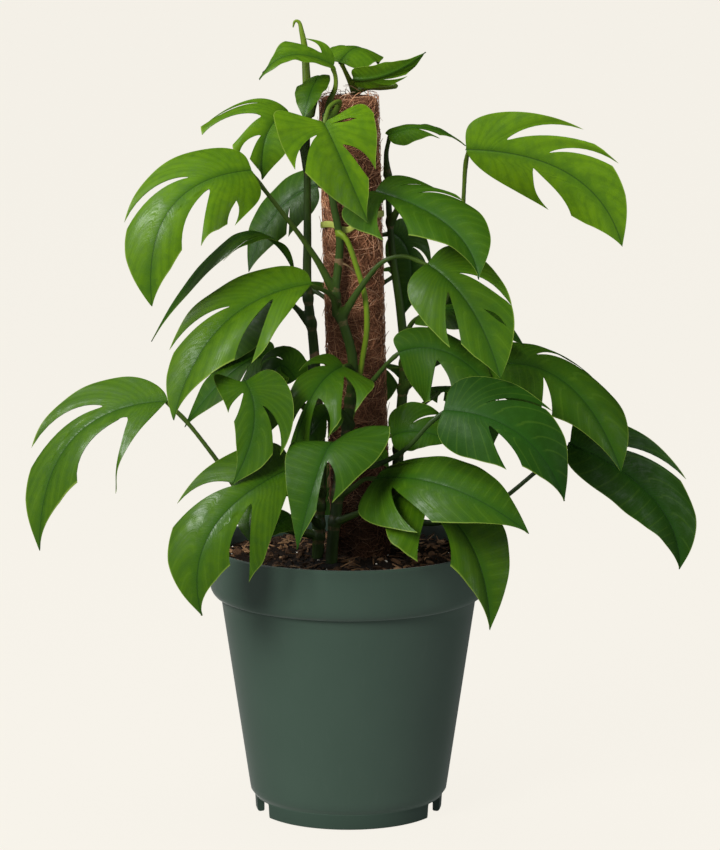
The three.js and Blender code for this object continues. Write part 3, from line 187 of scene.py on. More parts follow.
# vine is the stem that carries the leaf; base, mid and tip set its midrib; up is the way its upper
# face looks; stalk holds the points that its stalk runs through. The rest comes in pairs, for the
# left and the right half: wide is the greatest half-width, droop lets the margin hang, fold lifts
# the half into a V, swell is how slowly it widens from the stalk, taper how fast it draws in
# towards the tip, lobing how far it reaches back past the stalk, and point how far the tips of its
# lobes stand out. left and right list the cuts. A cut is (its root on the midrib, its place on the
# margin, its gap), as shares of the length; a fourth number is the share of the vein where it
# opens, and a fifth where it closes again, as a hole.
Leaf = namedtuple(
    "Leaf", "name vine base mid tip up wide stalk droop fold swell taper lobing point left right",
    defaults=(
        (0.3, 0.3), (0.08, 0.08), (0.62, 0.62), (1, 1), (0.45, 0.45), (TIP_REACH, TIP_REACH), (), (),
    ),
)
LEAVES = (
    # crown
    Leaf("crown_left", "front", (-10, -20, 542), (-41, -34, 550), (-62, -46, 534), (-0.4, -0.4, 0.8),
         wide=(14, 27), droop=(0.1, 0.1), fold=(0.1, 0.3), swell=(0.62, 1.4), taper=(1, 3.4),
         right=((0.08, 0.37, 0.36),),
         stalk=((-14, -20, 506), (-13, -20, 516), (-9, -19, 526), (-9, -19, 534))),
    Leaf("crown_back", "back", (-6, 10, 541), (8, 40, 549), (22, 76, 533), (0.1, -0.3, 0.9),
         wide=(16, 20), left=((0.3, 0.6, 0.06),), stalk=((5, 26, 518), (0, 20, 529))),
    Leaf("crown_right", "back", (4, 2, 530), (29, -20, 536), (54, -42, 553), (-0.1, 1, 0.3), wide=(9, 10),
         droop=(0, 0), taper=(1, 1.2), left=((0.3, 0.65, 0.08),), stalk=((5, 26, 518), (6, 20, 527))),
    Leaf("crown_hanging", "left", (-20, -11, 534), (-26, -32, 525), (-31, -44, 506), (-0.3, -0.6, 0.7),
         wide=(10, 14), stalk=((-27, -7, 505), (-22, -10, 520))),
    # upper leaves
    Leaf("upper_front", "front", (-17, -58, 506), (-6, -71, 484), (14, -82, 438), (0.36, -0.8, 0.5),
         wide=(37, 41), droop=(0.2, 0.1), fold=(0.35, 0.3), taper=(1.4, 1), lobing=(1.8, 1.4),
         left=((0.1, 0.4, 0.14, 0.04, 0.52), (0.37, 0.73, 0.17)), right=((0.2, 0.58, 0.13),),
         stalk=((-14, -20, 500), (-6, -34, 517), (-13, -48, 515))),
    Leaf("upper_left", "left", (-42, -2, 507), (-57, -31, 494), (-60, -38, 463), (0.2, -0.5, 0.8),
         wide=(20, 50), droop=(0, 0.85), fold=(0.2, 0.35), swell=(0.62, 1.6), taper=(0.8, 2.2),
         left=((0.4, 0.58, 0.09),), right=((0.08, 0.37, 0.18), (0.25, 0.64, 0.3), (0.5, 0.8, 0.1)),
         stalk=((-29, -6, 468), (-36, -4, 492))),
    Leaf("left_big", "front", (-67, -56, 472), (-122, -94, 450), (-135, -104, 383), (-0.3, -0.8, 0.5),
         wide=(34, 35), droop=(0.4, 0.3), taper=(1, 0.8),
         left=((0.07, 0.32, 0.14, 0.6), (0.19, 0.68, 0.26)), right=((0.23, 0.66, 0.18),),
         stalk=((-9, -28, 380), (-20, -32, 402), (-32, -38, 421), (-47, -46, 442))),
    Leaf("right_big", "right", (83, -17, 482), (156, -35, 466), (192, -48, 417), (-0.2, -1, 0.1),
         wide=(31, 30), droop=(0.1, 0.6), fold=(0.04, 0.04), swell=(0.62, 0.85), lobing=(0.4, 0.2),
         left=((0.11, 0.5, 0.2), (0.31, 0.64, 0.08)), right=((0.28, 0.56, 0.42, 0.18),),
         stalk=((40, 8, 325), (60, 8, 352), (79, 4, 402), (82, 4, 446), (83, -2, 468))),
    Leaf("right_behind", "right", (28, 10, 489), (56, 16, 494), (84, 26, 480), (0.1, -0.25, 1),
         wide=(14, 12), droop=(0.3, 0.6), taper=(1, 1.6), right=((0.3, 0.66, 0.1),),
         stalk=((28, 9, 460), (27, 10, 476))),
    # middle leaves
    Leaf("middle_right", "right", (19, -28, 454), (70, -72, 435), (90, -104, 402), (0.1, -0.5, 0.9),
         wide=(32, 50), droop=(0.5, 0.5), fold=(0.45, 0.5), taper=(1.2, 1.8),
         left=((0.06, 0.31, 0.06), (0.17, 0.4, 0.05)), right=((0.08, 0.45, 0.24),),
         stalk=((30, 11, 426), (35, -2, 440), (28, -16, 451))),
    Leaf("middle_left", "front", (-25, -62, 393), (-87, -88, 368), (-121, -101, 303), (-0.3, -0.4, 0.8),
         wide=(41, 34), droop=(0.5, 0.2), fold=(0.35, 0.3), swell=(1.3, 0.62), taper=(1.5, 0.8),
         lobing=(0.2, 0.45), left=((0.17, 0.6, 0.2),), right=((0.35, 0.73, 0.12),),
         stalk=((-8, -29, 366), (-12, -44, 382))),
    Leaf("left_arching", "left", (-38, -16, 396), (-78, -40, 423), (-139, -42, 349), (-0.3, -0.25, 0.9),
         wide=(15, 10), droop=(0.2, 0.3), swell=(1.2, 1.2), lobing=(0.1, 0.1), left=((0.25, 0.62, 0.06),),
         stalk=((-29, -12, 376), (-31, -13, 386))),
    Leaf("left_rear", "back", (-22, 26, 452), (-53, 34, 430), (-72, 30, 388), (-0.4, -0.7, 0.5),
         wide=(20, 20), left=((0.3, 0.6, 0.06),), stalk=((-3, 33, 436), (-12, 30, 449))),
    Leaf("left_shade", "left", (-57, -15, 374), (-81, -12, 348), (-102, -10, 323), (-0.2, -0.7, 0.6),
         wide=(18, 18), droop=(0.2, 0.2), right=((0.3, 0.6, 0.06),),
         stalk=((-28, -13, 358), (-42, -14, 372))),
    Leaf("right_middle", "front", (55, -61, 407), (85, -89, 380), (105, -111, 334), (0, -0.7, 0.7),
         wide=(29, 31), droop=(0.1, 0.5), fold=(0.26, 0.23), taper=(0.85, 1),
         left=((0.16, 0.62, 0.08, 0.24, 0.96), (0.5, 0.78, 0.05, 0.3, 0.8)), right=((0.25, 0.7, 0.17),),
         stalk=((-5, -33, 364), (10, -42, 389), (24, -47, 406), (38, -52, 411))),
    Leaf("pole_rear", "back", (31, 30, 417), (45, 34, 395), (40, 30, 357), (0.3, -0.9, 0.2),
         wide=(17, 17), droop=(0.2, 0.2), left=((0.3, 0.6, 0.08),), stalk=((-2, 33, 396), (16, 34, 412))),
    Leaf("right_lower", "front", (35, -60, 344), (72, -67, 344), (105, -90, 315), (0.4, -0.8, 0.4),
         wide=(18, 36), droop=(0.5, 0.5), right=((0.36, 0.66, 0.32),),
         stalk=((2, -36, 306), (14, -46, 318), (28, -56, 336))),
    Leaf("right_outer", "right", (94, -63, 335), (152, -62, 323), (191, -78, 262), (0.2, -0.3, 0.9),
         wide=(43, 28), droop=(0.6, 0.7), fold=(0.48, 0.03), swell=(1, 0.62), lobing=(0.1, 0.45),
         left=((0.24, 0.62, 0.15),), right=((0.34, 0.57, 0.14),),
         stalk=((39, 9, 306), (60, -18, 328), (80, -44, 338))),
    Leaf("right_rear", "right", (51, -24, 365), (88, -44, 370), (124, -54, 347), (0.2, -0.4, 0.9),
         wide=(20, 20), right=((0.3, 0.6, 0.06),), stalk=((38, 8, 340), (46, -10, 358))),
    # lower leaves
    Leaf("lower_right", "front", (66, -103, 311), (118, -128, 298), (149, -132, 252), (0.4, -0.8, 0.5),
         wide=(35, 29), droop=(0.2, 0.5), fold=(0.15, 0.1), taper=(1, 1.3), left=((0.16, 0.54, 0.05),),
         right=((0.25, 0.64, 0.22),),
         stalk=((0, -38, 262), (16, -66, 264), (40, -92, 281), (57, -101, 301))),
    Leaf("far_right", "right", (156, -53, 278), (216, -45, 237), (235, -52, 187), (0.5, -0.7, 0.5),
         wide=(34, 28), droop=(0.1, 0.4), fold=(0.24, 0.43), left=((0.09, 0.56, 0.1),),
         stalk=((35, 17, 212), (62, -20, 214), (102, -46, 232), (134, -50, 258))),
    Leaf("front_right", "front", (19, -84, 259), (70, -134, 262), (124, -150, 233), (0.3, -0.8, 0.5),
         wide=(31, 38), droop=(0.4, 0.3), taper=(0.9, 1.4), right=((0.12, 0.5, 0.2),),
         stalk=((-6, -38, 238), (4, -54, 247), (12, -72, 256))),
    Leaf("rim_right", "front", (37, -88, 250), (82, -112, 223), (98, -140, 163), (0.4, -0.3, 0.9),
         wide=(32, 44), droop=(0.1, 0.7), fold=(0.4, 0.25), taper=(1, 1.3), right=((0.16, 0.6, 0.33),),
         stalk=((-9, -37, 218), (10, -58, 230), (26, -76, 240))),
    Leaf("centre_right", "front", (30, -58, 284), (50, -66, 289), (74, -70, 281), (0, -0.8, 0.6),
         wide=(24, 14), droop=(0.2, 0.3), left=((0.3, 0.7, 0.06),),
         stalk=((0, -38, 272), (16, -46, 281))),
    Leaf("far_left", "left", (-128, -33, 305), (-197, -32, 276), (-220, -36, 197), (-0.4, -0.4, 0.8),
         wide=(42, 36), droop=(0.5, 0), fold=(0.1, 0.2), swell=(1.2, 0.62), taper=(1.6, 0.9),
         lobing=(0.2, 0.1), point=(1.22, 1.07), left=((0.12, 0.55, 0.5),), right=((0.22, 0.67, 0.26),),
         stalk=((-22, -16, 204), (-50, -30, 214), (-76, -36, 238), (-96, -34, 266), (-116, -31, 291))),
    Leaf("left_low_rear", "left", (-52, -15, 337), (-83, -18, 323), (-117, -16, 283), (-0.3, -0.5, 0.8),
         wide=(20, 22), droop=(0.2, 0.2), left=((0.3, 0.6, 0.06),),
         stalk=((-24, -17, 322), (-38, -16, 335))),
    Leaf("left_front", "left", (-71, -104, 331), (-65, -114, 301), (-80, -118, 261), (0, -0.8, 0.4),
         wide=(27, 19), droop=(0, 0.3), fold=(0.1, 0.1), taper=(1, 1.4), lobing=(0.45, 1.6),
         left=((0.24, 0.68, 0.14),), right=((0.07, 0.5, 0.2),),
         stalk=((-22, -18, 288), (-40, -50, 312), (-58, -86, 329))),
    Leaf("left_top", "left", (-37, -52, 323), (-50, -56, 333), (-58, -62, 306), (-0.3, -0.8, 0.4),
         wide=(13, 15), right=((0.3, 0.6, 0.06),), stalk=((-23, -18, 306), (-27, -38, 322))),
    Leaf("front_middle", "front", (-3, -63, 335), (-25, -90, 318), (-39, -94, 272), (-0.3, -0.9, 0.4),
         wide=(36, 17), droop=(0, 0.1), fold=(0.2, 0.3), left=((0.1, 0.56, 0.26), (0.45, 0.8, 0.26)),
         right=((0.1, 0.42, 0.14), (0.5, 0.88, 0.1)), stalk=((3, -36, 322), (1, -50, 333))),
    Leaf("front_low", "front", (-9, -101, 288), (-19, -130, 276), (-35, -142, 220), (-0.3, -0.8, 0.5),
         wide=(39, 27), droop=(0.5, 0.2), fold=(0.3, 0.3), taper=(1.6, 1), lobing=(1.3, 0.5),
         left=((0.4, 0.76, 0.22),), stalk=((-2, -38, 250), (-4, -66, 276))),
    Leaf("rim_left", "left", (-38, -104, 271), (-94, -131, 231), (-101, -131, 171), (-0.3, -0.8, 0.4),
         wide=(34, 38), droop=(0.5, 0.4), fold=(0.08, 0.2), swell=(1.2, 0.62), taper=(1.6, 1),
         lobing=(0.2, 0.45), point=(1.33, 1.07), left=((0.19, 0.63, 0.24),), right=((0.2, 0.54, 0.26),),
         stalk=((-20, -18, 236), (-30, -60, 250), (-37, -88, 262))),
    Leaf("small_left", "left", (-60, -68, 243), (-69, -83, 233), (-66, -92, 212), (-0.3, -0.8, 0.4),
         wide=(10, 11), droop=(0.2, 0.2), stalk=((-21, -17, 226), (-42, -46, 240))),
    Leaf("small_grey", "left", (-40, -60, 228), (-49, -72, 225), (-59, -84, 216), (0.1, -0.5, 0.8),
         wide=(11, 11), droop=(0.2, 0.2), stalk=((-21, -17, 212), (-30, -40, 224))),
    Leaf("under_front", "front", (-9, -60, 304), (-22, -72, 295), (-36, -78, 270), (-0.3, -0.8, 0.5),
         wide=(13, 13), left=((0.3, 0.6, 0.08),), stalk=((2, -38, 288), (-4, -50, 300))),
    Leaf("dark_centre", "front", (10, -45, 268), (18, -50, 272), (29, -52, 260), (0.1, -0.7, 0.7),
         wide=(11, 11), right=((0.3, 0.62, 0.08),), stalk=((-5, -38, 242), (5, -41, 256))),
    # leaves round the back
    Leaf("back_high", "back", (-3, 50, 478), (-8, 86, 468), (-14, 112, 430), (-0.1, 0.6, 0.8),
         wide=(27, 27), left=((0.25, 0.64, 0.1),), right=((0.18, 0.56, 0.1),),
         stalk=((-5, 33, 448), (-4, 40, 466))),
    Leaf("back_left", "back", (-26, 60, 372), (-52, 92, 366), (-68, 116, 326), (-0.4, 0.4, 0.8),
         wide=(30, 30), left=((0.25, 0.64, 0.1),), right=((0.18, 0.56, 0.1),),
         stalk=((0, 33, 344), (-14, 46, 364))),
    Leaf("back_right", "back", (36, 58, 384), (62, 88, 378), (84, 110, 338), (0.4, 0.4, 0.8),
         wide=(30, 30), left=((0.18, 0.56, 0.1),), right=((0.25, 0.64, 0.1),),
         stalk=((0, 33, 356), (20, 44, 374))),
    Leaf("back_low_left", "back", (-32, 70, 292), (-56, 104, 282), (-72, 130, 236), (-0.4, 0.5, 0.8),
         wide=(32, 32), left=((0.25, 0.64, 0.1),), right=((0.18, 0.56, 0.1),),
         stalk=((2, 34, 262), (-16, 52, 282))),
    Leaf("back_low", "back", (8, 70, 312), (14, 112, 302), (16, 144, 258), (0, 0.6, 0.8), wide=(32, 32),
         left=((0.2, 0.6, 0.1),), right=((0.28, 0.66, 0.1),), stalk=((2, 34, 288), (5, 52, 306))),
    Leaf("back_low_right", "right", (66, 60, 296), (92, 92, 288), (108, 116, 246), (0.4, 0.5, 0.8),
         wide=(32, 32), left=((0.18, 0.56, 0.1),), right=((0.25, 0.64, 0.1),),
         stalk=((36, 14, 262), (50, 36, 286))),
    Leaf("back_rim", "back", (-6, 84, 236), (-12, 118, 226), (-18, 142, 182), (-0.1, 0.6, 0.8),
         wide=(27, 27), left=((0.25, 0.64, 0.1),), right=((0.18, 0.56, 0.1),),
         stalk=((4, 34, 214), (-2, 60, 232))),
)
# How young a leaf looks, from 0, old and dark, to 1, fresh and yellow-green. The leaves that
# aren't named here stand in the shade or round the back and have a coarser mesh.
FRESHNESS = {
    "upper_front": 1.0, "left_big": 0.8, "right_big": 1.0, "upper_left": 0.75, "crown_left": 0.7,
    "crown_right": 0.7, "crown_back": 0.75, "middle_left": 0.62, "right_middle": 0.4, "middle_right": 0.25,
    "right_lower": 0.2, "right_outer": 0.25, "far_left": 0.45, "far_right": 0.05, "lower_right": 0.0,
    "front_right": 0.25, "rim_right": 0.4, "rim_left": 0.42, "left_front": 0.3, "front_middle": 0.35,
    "front_low": 0.15, "small_left": 0.5, "crown_hanging": 0.5, "left_arching": 0.3, "right_behind": 0.35,
}
SHADED_FRESHNESS = 0.2
# How waxy a leaf looks, from 0, dull, to 1, with a broad sheen.
SHEEN = {
    "far_left": 1.0, "rim_left": 1.0, "front_low": 1.0, "left_front": 0.8, "left_big": 0.8,
    "upper_front": 0.7, "front_right": 0.7, "lower_right": 0.1, "right_lower": 0.15, "middle_right": 0.35,
    "right_outer": 0.4, "right_middle": 0.45, "left_arching": 1.0, "right_behind": 1.0,
    "crown_left": 1.0, "left_low_rear": 0.1, "left_top": 0.2, "left_shade": 0.2,
}
COMMON_SHEEN = 0.5


# ---- shader formulas -----------------------------------------------------------------------
class Value:
    """A shader socket that can stand in a formula: each operator adds its Math node."""

    def __init__(self, finish, socket):
        self.finish = finish
        self.socket = socket

    def __add__(self, other):
        return self.finish.maths("ADD", self, other)

    def __radd__(self, other):
        return self.finish.maths("ADD", other, self)

    def __sub__(self, other):
        return self.finish.maths("SUBTRACT", self, other)

    def __mul__(self, other):
        return self.finish.maths("MULTIPLY", self, other)


class Finish:
    """A procedural material, written as formulas on its sockets."""

    def __init__(self, name):
        self.material = bpy.data.materials.new(name)
        self.material.use_nodes = True
        self.tree = self.material.node_tree
        self.tree.nodes.clear()

    def put(self, kind, settings, inputs, output=0):
        """Adds a node, sets it up, then feeds its sockets with values or links."""
        node = self.tree.nodes.new(kind)
        for key, setting in settings.items():
            setattr(node, key, setting)
        for key, given in inputs.items():
            if isinstance(given, Value):
                self.tree.links.new(given.socket, node.inputs[key])
            else:
                node.inputs[key].default_value = given
        return Value(self, node.outputs[output])

    def maths(self, operation, *terms):
        return self.put("ShaderNodeMath", {"operation": operation}, dict(enumerate(terms)))

    def field(self, name):
        return self.put("ShaderNodeAttribute", {"attribute_name": name}, {}, "Fac")

    def stretched(self, x, y, z):
        """Object coordinates in millimetres, scaled along each axis."""
        place = self.put("ShaderNodeTexCoord", {}, {}, "Object")
        return self.put("ShaderNodeMapping", {}, {"Vector": place, "Scale": (1000 * x, 1000 * y, 1000 * z)})

    def painted_pole_shade(self):
        """0 up the pole where it has no painted shade, 1 down near the soil where painted shade makes it
        dark.
        """
        height = self.put("ShaderNodeSeparateXYZ", {}, {0: self.stretched(1, 1, 1)}, "Z")
        return self.window(height, POLE_UNSHADED_ABOVE, POLE_SHADED_BELOW)

    def vein_map(self):
        return self.put("ShaderNodeUVMap", {"uv_map": "Veins"}, {})

    def vein_ridges(self):
        """1 on a side vein and -1 between two, from the leaf's own map of its veins."""
        place = self.put("ShaderNodeSeparateXYZ", {}, {0: self.vein_map()}, "X")
        return self.maths("COSINE", place * (2 * math.pi * VEIN_MAP_WIDTH))

    def vein_streaks(self):
        """Soft streaks drawn out along the side veins."""
        along = self.put("ShaderNodeMapping", {}, {"Vector": self.vein_map(), "Scale": (260, 7, 1)})
        return self.clouds(1.0, 3.0, 0.6, along)

    def clouds(self, scale, detail=3.0, roughness=0.55, where=None):
        """Soft random patches between 0 and 1; where is in millimetres and scale is per millimetre."""
        inputs = {"Vector": where or self.stretched(1, 1, 1), "Scale": scale, "Detail": detail}
        return self.put("ShaderNodeTexNoise", {}, inputs | {"Roughness": roughness}, "Fac")

    def cells(self, scale):
        inputs = {"Vector": self.stretched(1, 1, 1), "Scale": scale}
        return self.put("ShaderNodeTexVoronoi", {}, inputs, "Distance")

    def window(self, value, low, high):
        """0 below low, 1 above high, smooth between; low above high turns it round."""
        inputs = {"Value": value, "From Min": low, "From Max": high}
        return self.put("ShaderNodeMapRange", {"interpolation_type": "SMOOTHSTEP"}, inputs)

    def ramp(self, value, *stops):
        """Colours a value by stops, each given as (value, colour)."""
        ramp = self.put("ShaderNodeValToRGB", {}, {"Fac": value})
        elements = ramp.socket.node.color_ramp.elements
        while len(elements) < len(stops):
            elements.new(1)
        for element, (place, colour) in zip(elements, stops):
            element.position = place
            element.color = (*colour, 1)
        return ramp

    def tint(self, share, first, second):
        """Mixes two colours by share."""
        first, second = (c if isinstance(c, Value) else (*c, 1) for c in (first, second))
        return self.put("ShaderNodeMix", {"data_type": "RGBA"}, {0: share, 6: first, 7: second}, 2)

    def layers(self, body, *tints):
        """Lays tints over a colour, each given as (share, colour)."""
        for share, colour in tints:
            body = self.tint(share, body, colour)
        return body

    def bump(self, height, strength, distance):
        """distance is the relief of a full step of height, in millimetres."""
        inputs = {"Height": height, "Strength": strength, "Distance": distance / 1000}
        return self.put("ShaderNodeBump", {}, inputs)

    def done(self, colour, roughness, normal, **fixed):
        """Closes the material; fixed sets the shader's own sockets."""
        inputs = {"Base Color": colour, "Roughness": roughness, "Normal": normal}
        inputs.update({key.replace("_", " "): value for key, value in fixed.items()})
        return self.closed(self.put("ShaderNodeBsdfPrincipled", {}, inputs))

    def closed(self, shader):
        node = self.tree.nodes.new("ShaderNodeOutputMaterial")
        self.tree.links.new(shader.socket, node.inputs["Surface"])
        return self.material


# ---- finishes ------------------------------------------------------------------------------
def leaf_top():
    finish = Finish("leaf_top")
    young = finish.field("Young")
    across = finish.field("Across")
    ridge = finish.vein_ridges()
    patches = finish.clouds(0.03, 2.0)
    blotches = finish.clouds(0.16)
    fine = finish.clouds(0.9, 4.0, 0.65)
    old = finish.tint(patches, (0.009, 0.043, 0.002), (0.020, 0.072, 0.004))
    fresh = finish.tint(patches, (0.070, 0.175, 0.003), (0.135, 0.255, 0.004))
    away = finish.window(across, 1.0, 6.0)
    between_veins = finish.window(ridge, -0.2, -1.0) * away
    on_veins = finish.window(ridge, 0.85, 1.0) * away
    beside_midrib = finish.window(across, 7.0, 0.8)
    # painted shade: a dark line down the midrib's groove
    painted_groove_shade = finish.window(across, 0.7, 0.2)
    edge = finish.window(finish.field("Rim"), 0.972, 0.995)
    body = finish.layers(
        finish.tint(young, old, fresh),
        (finish.window(blotches, 0.35, 0.7) * 0.3, (0.022, 0.085, 0.006)),
        (finish.window(fine, 0.5, 0.8) * (young * 0.22 + 0.05), (0.095, 0.20, 0.012)),
        (between_veins * 0.16, (0.012, 0.050, 0.004)),
        (on_veins * 0.12, (0.13, 0.25, 0.02)),
        (beside_midrib * 0.42, (0.013, 0.066, 0.006)),
        # painted shade in the midrib's groove
        (painted_groove_shade * 0.6, (0.012, 0.045, 0.006)),
        (edge * 0.6, (0.24, 0.34, 0.05)),
    )
    waxy = finish.window(finish.vein_streaks() * 0.6 + blotches * 0.4, 0.40, 0.68) * finish.field("Sheen")
    relief = fine * 0.5 + blotches * 0.5 + ridge * 0.35
    return finish.done(
        body, 0.5 + finish.clouds(0.12) * 0.12, finish.bump(relief, 0.8, 0.16), Specular_IOR_Level=0.14,
        Coat_Weight=waxy, Coat_Roughness=0.3, Coat_IOR=1.5,
    )


def leaf_underside():
    finish = Finish("leaf_underside")
    ridge = finish.vein_ridges()
    patches = finish.clouds(0.05, 2.0)
    old = finish.tint(patches, (0.085, 0.130, 0.050), (0.120, 0.170, 0.070))
    fresh = finish.tint(patches, (0.170, 0.250, 0.070), (0.230, 0.310, 0.090))
    body = finish.layers(
        finish.tint(finish.field("Young"), old, fresh),
        (finish.window(ridge, 0.6, 1.0) * 0.3, (0.24, 0.34, 0.13)),
        (finish.window(finish.field("Across"), 2.2, 0.9) * 0.8, (0.25, 0.36, 0.12)),
    )
    relief = finish.clouds(1.4) * 0.4 + ridge * 0.5
    return finish.done(body, 0.5 + patches * 0.12, finish.bump(relief, 0.6, 0.15), Specular_IOR_Level=0.35)


def leaf_margin():
    finish = Finish("leaf_margin")
    patches = finish.clouds(0.15)
    pale = finish.tint(finish.field("Young"), (0.22, 0.32, 0.10), (0.42, 0.52, 0.14))
    body = finish.tint(patches * 0.5, pale, (0.16, 0.28, 0.05))
    return finish.done(body, 0.45 + patches * 0.1, finish.bump(patches, 0.3, 0.1))


def stem_skin():
    finish = Finish("stem_skin")
    streaks = finish.clouds(0.9, 4.0, where=finish.stretched(1, 1, 0.12))
    spots = finish.clouds(0.5)
    old = finish.tint(streaks, (0.014, 0.038, 0.006), (0.040, 0.080, 0.014))
    fresh = finish.tint(streaks, (0.110, 0.200, 0.008), (0.220, 0.330, 0.020))
    body = finish.tint(finish.field("Young"), old, fresh)
    scar = finish.tint(spots, (0.08, 0.042, 0.020), (0.26, 0.18, 0.09))
    body = finish.tint(finish.window(finish.field("Bark") + spots * 0.5, 0.5, 1.0), body, scar)
    relief = streaks + spots * 0.5
    return finish.done(body, 0.42 + streaks * 0.2, finish.bump(relief, 0.5, 0.25), Specular_IOR_Level=0.4)


def coir_fibre():
    finish = Finish("coir_fibre")
    grain = finish.clouds(1.6, 2.0)
    body = finish.ramp(
        finish.field("Tone") * 0.85 + finish.clouds(0.06, 2.0) * 0.25 + grain * 0.12 - 0.14,
        (0.0, (0.060, 0.024, 0.012)), (0.4, (0.40, 0.180, 0.095)), (0.75, (0.75, 0.42, 0.25)),
        (1.0, (0.90, 0.68, 0.48)),
    )
    # painted shade: the fibre darkens down towards the soil
    body = finish.tint(finish.painted_pole_shade() * 0.75, body, (0.022, 0.012, 0.007))
    return finish.done(body, 0.85 + grain * 0.1, finish.bump(grain, 0.5, 0.2), Specular_IOR_Level=0.25)


def coir_matting():
    finish = Finish("coir_matting")
    grain = finish.clouds(0.9, 6.0, 0.7)
    patches = finish.clouds(0.06, 2.0)
    body = finish.ramp(
        grain * 0.8 + patches * 0.2,
        (0.3, (0.020, 0.008, 0.004)), (0.5, (0.20, 0.085, 0.045)), (0.7, (0.55, 0.27, 0.15)),
    )
    # painted shade: the matting darkens down towards the soil
    body = finish.tint(finish.painted_pole_shade() * 0.8, body, (0.012, 0.006, 0.004))
    return finish.done(body, 0.9 + patches * 0.05, finish.bump(grain, 1.0, 0.9), Specular_IOR_Level=0.2)


def potting_mix():
    finish = Finish("potting_mix")
    crumb = finish.clouds(0.5, 8.0, 0.7)
    body = finish.ramp(
        finish.field("Tone") + (crumb - 0.5) * 0.22,
        (0.0, (0.006, 0.004, 0.003)), (0.35, (0.022, 0.013, 0.008)), (0.6, (0.085, 0.045, 0.024)),
        (0.8, (0.23, 0.13, 0.065)), (0.92, (0.45, 0.30, 0.17)), (1.0, (0.80, 0.77, 0.70)),
    )
    relief = crumb + finish.cells(0.7) * 0.5
    return finish.done(body, 0.85 + crumb * 0.1, finish.bump(relief, 0.8, 0.8), Specular_IOR_Level=0.3)


def pot_plastic():
    finish = Finish("pot_plastic")
    film = finish.clouds(0.02)
    grain = finish.clouds(1.3, 2.0)
    drawn = finish.clouds(0.35, where=finish.stretched(1, 1, 0.05))
    body = finish.tint(film, (0.046, 0.082, 0.060), (0.054, 0.093, 0.069))
    body = finish.tint(finish.window(drawn, 0.55, 0.85) * 0.25, body, (0.071, 0.109, 0.084))
    relief = grain * 0.35 + drawn * 0.3
    return finish.done(
        body, 0.40 + film * 0.10 + grain * 0.04, finish.bump(relief, 0.25, 0.08), Specular_IOR_Level=0.5,
        Sheen_Weight=0.25, Sheen_Roughness=0.4,
    )


def stake_wood():
    finish = Finish("stake_wood")
    grain = finish.clouds(0.8, 5.0, where=finish.stretched(1, 1, 0.06))
    body = finish.tint(grain, (0.20, 0.12, 0.06), (0.42, 0.28, 0.15))
    return finish.done(body, 0.7 + grain * 0.15, finish.bump(grain, 0.5, 0.3))


def soft_tie():
    finish = Finish("soft_tie")
    film = finish.clouds(0.3)
    body = finish.tint(film, (0.32, 0.38, 0.06), (0.50, 0.55, 0.13))
    return finish.done(body, 0.5 + film * 0.15, finish.bump(film, 0.4, 0.15))


# ---- making and setting down ----------------------------------------------------------------
def nothing_selected():
    if bpy.context.object is not None and bpy.context.object.mode != "OBJECT":
        bpy.ops.object.mode_set(mode="OBJECT")
    bpy.ops.object.select_all(action="DESELECT")


def only(piece):
    nothing_selected()
    piece.select_set(True)
    bpy.context.view_layer.objects.active = piece


def from_points(name, points, faces, edges=()):
    mesh = bpy.data.meshes.new(name)
    mesh.from_pydata(points, edges, faces)
    mesh.validate()
    piece = bpy.data.objects.new(name, mesh)
    bpy.context.scene.collection.objects.link(piece)
    only(piece)
    return piece


def write_field(piece, name, numbers):
    """Gives each point of a piece a number; a single number goes to them all."""
    numbers = np.broadcast_to(np.asarray(numbers, np.float32), len(piece.data.vertices))
    field = piece.data.attributes.new(name, "FLOAT", "POINT")
    field.data.foreach_set("value", np.ascontiguousarray(numbers))


def modify(piece, kind, **settings):
    """Adds a modifier, sets it and applies it."""
    only(piece)
    modifier = piece.modifiers.new(kind.lower(), kind)
    for key, setting in settings.items():
        setattr(modifier, key, setting)
    bpy.ops.object.modifier_apply(modifier=modifier.name)


def set_down(piece, finishes, nodes):
    """Gives a finished piece its materials and its place in the row frame."""
    piece.data.transform(TO_ROW)
    piece.data.materials.clear()
    for finish in finishes:
        piece.data.materials.append(finish)
    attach(piece, "root")
    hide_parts(*nodes)


def joined(parts):
    """Points and faces of several (points, faces) parts as one."""
    points, faces, start = [], [], 0
    for part_points, part_faces in parts:
        points.append(np.asarray(part_points, float))
        faces.extend([[i + start for i in face] for face in part_faces])
        start += len(part_points)
    return np.concatenate(points), faces


def unit(vectors):
    return vectors / np.linalg.norm(vectors, axis=-1, keepdims=True)


def round_angles(count):
    return [2 * math.pi * j / count for j in range(count)]


def off_line(centre, reach, angle, z):
    """The point at height z that lies this far from an upright line, at this angle."""
    return centre.x + reach * math.cos(angle), centre.y + reach * math.sin(angle), z


def ring_faces(rings, sides, last_to_first=False, open_sides=False):
    """Faces between neighbouring rings of points, each a list of the points' numbers."""
    faces = []
    for i in range(rings if last_to_first else rings - 1):
        below, above = i * sides, (i + 1) % rings * sides
        for j in range(sides - 1 if open_sides else sides):
            after = (j + 1) % sides
            faces.append([below + j, below + after, above + after, above + j])
    return faces


def turned_round(faces, first_point=0):
    """The same faces looking the other way, for points whose numbers start at first_point."""
    return [[first_point + i for i in (face[0], *face[:0:-1])] for face in faces]


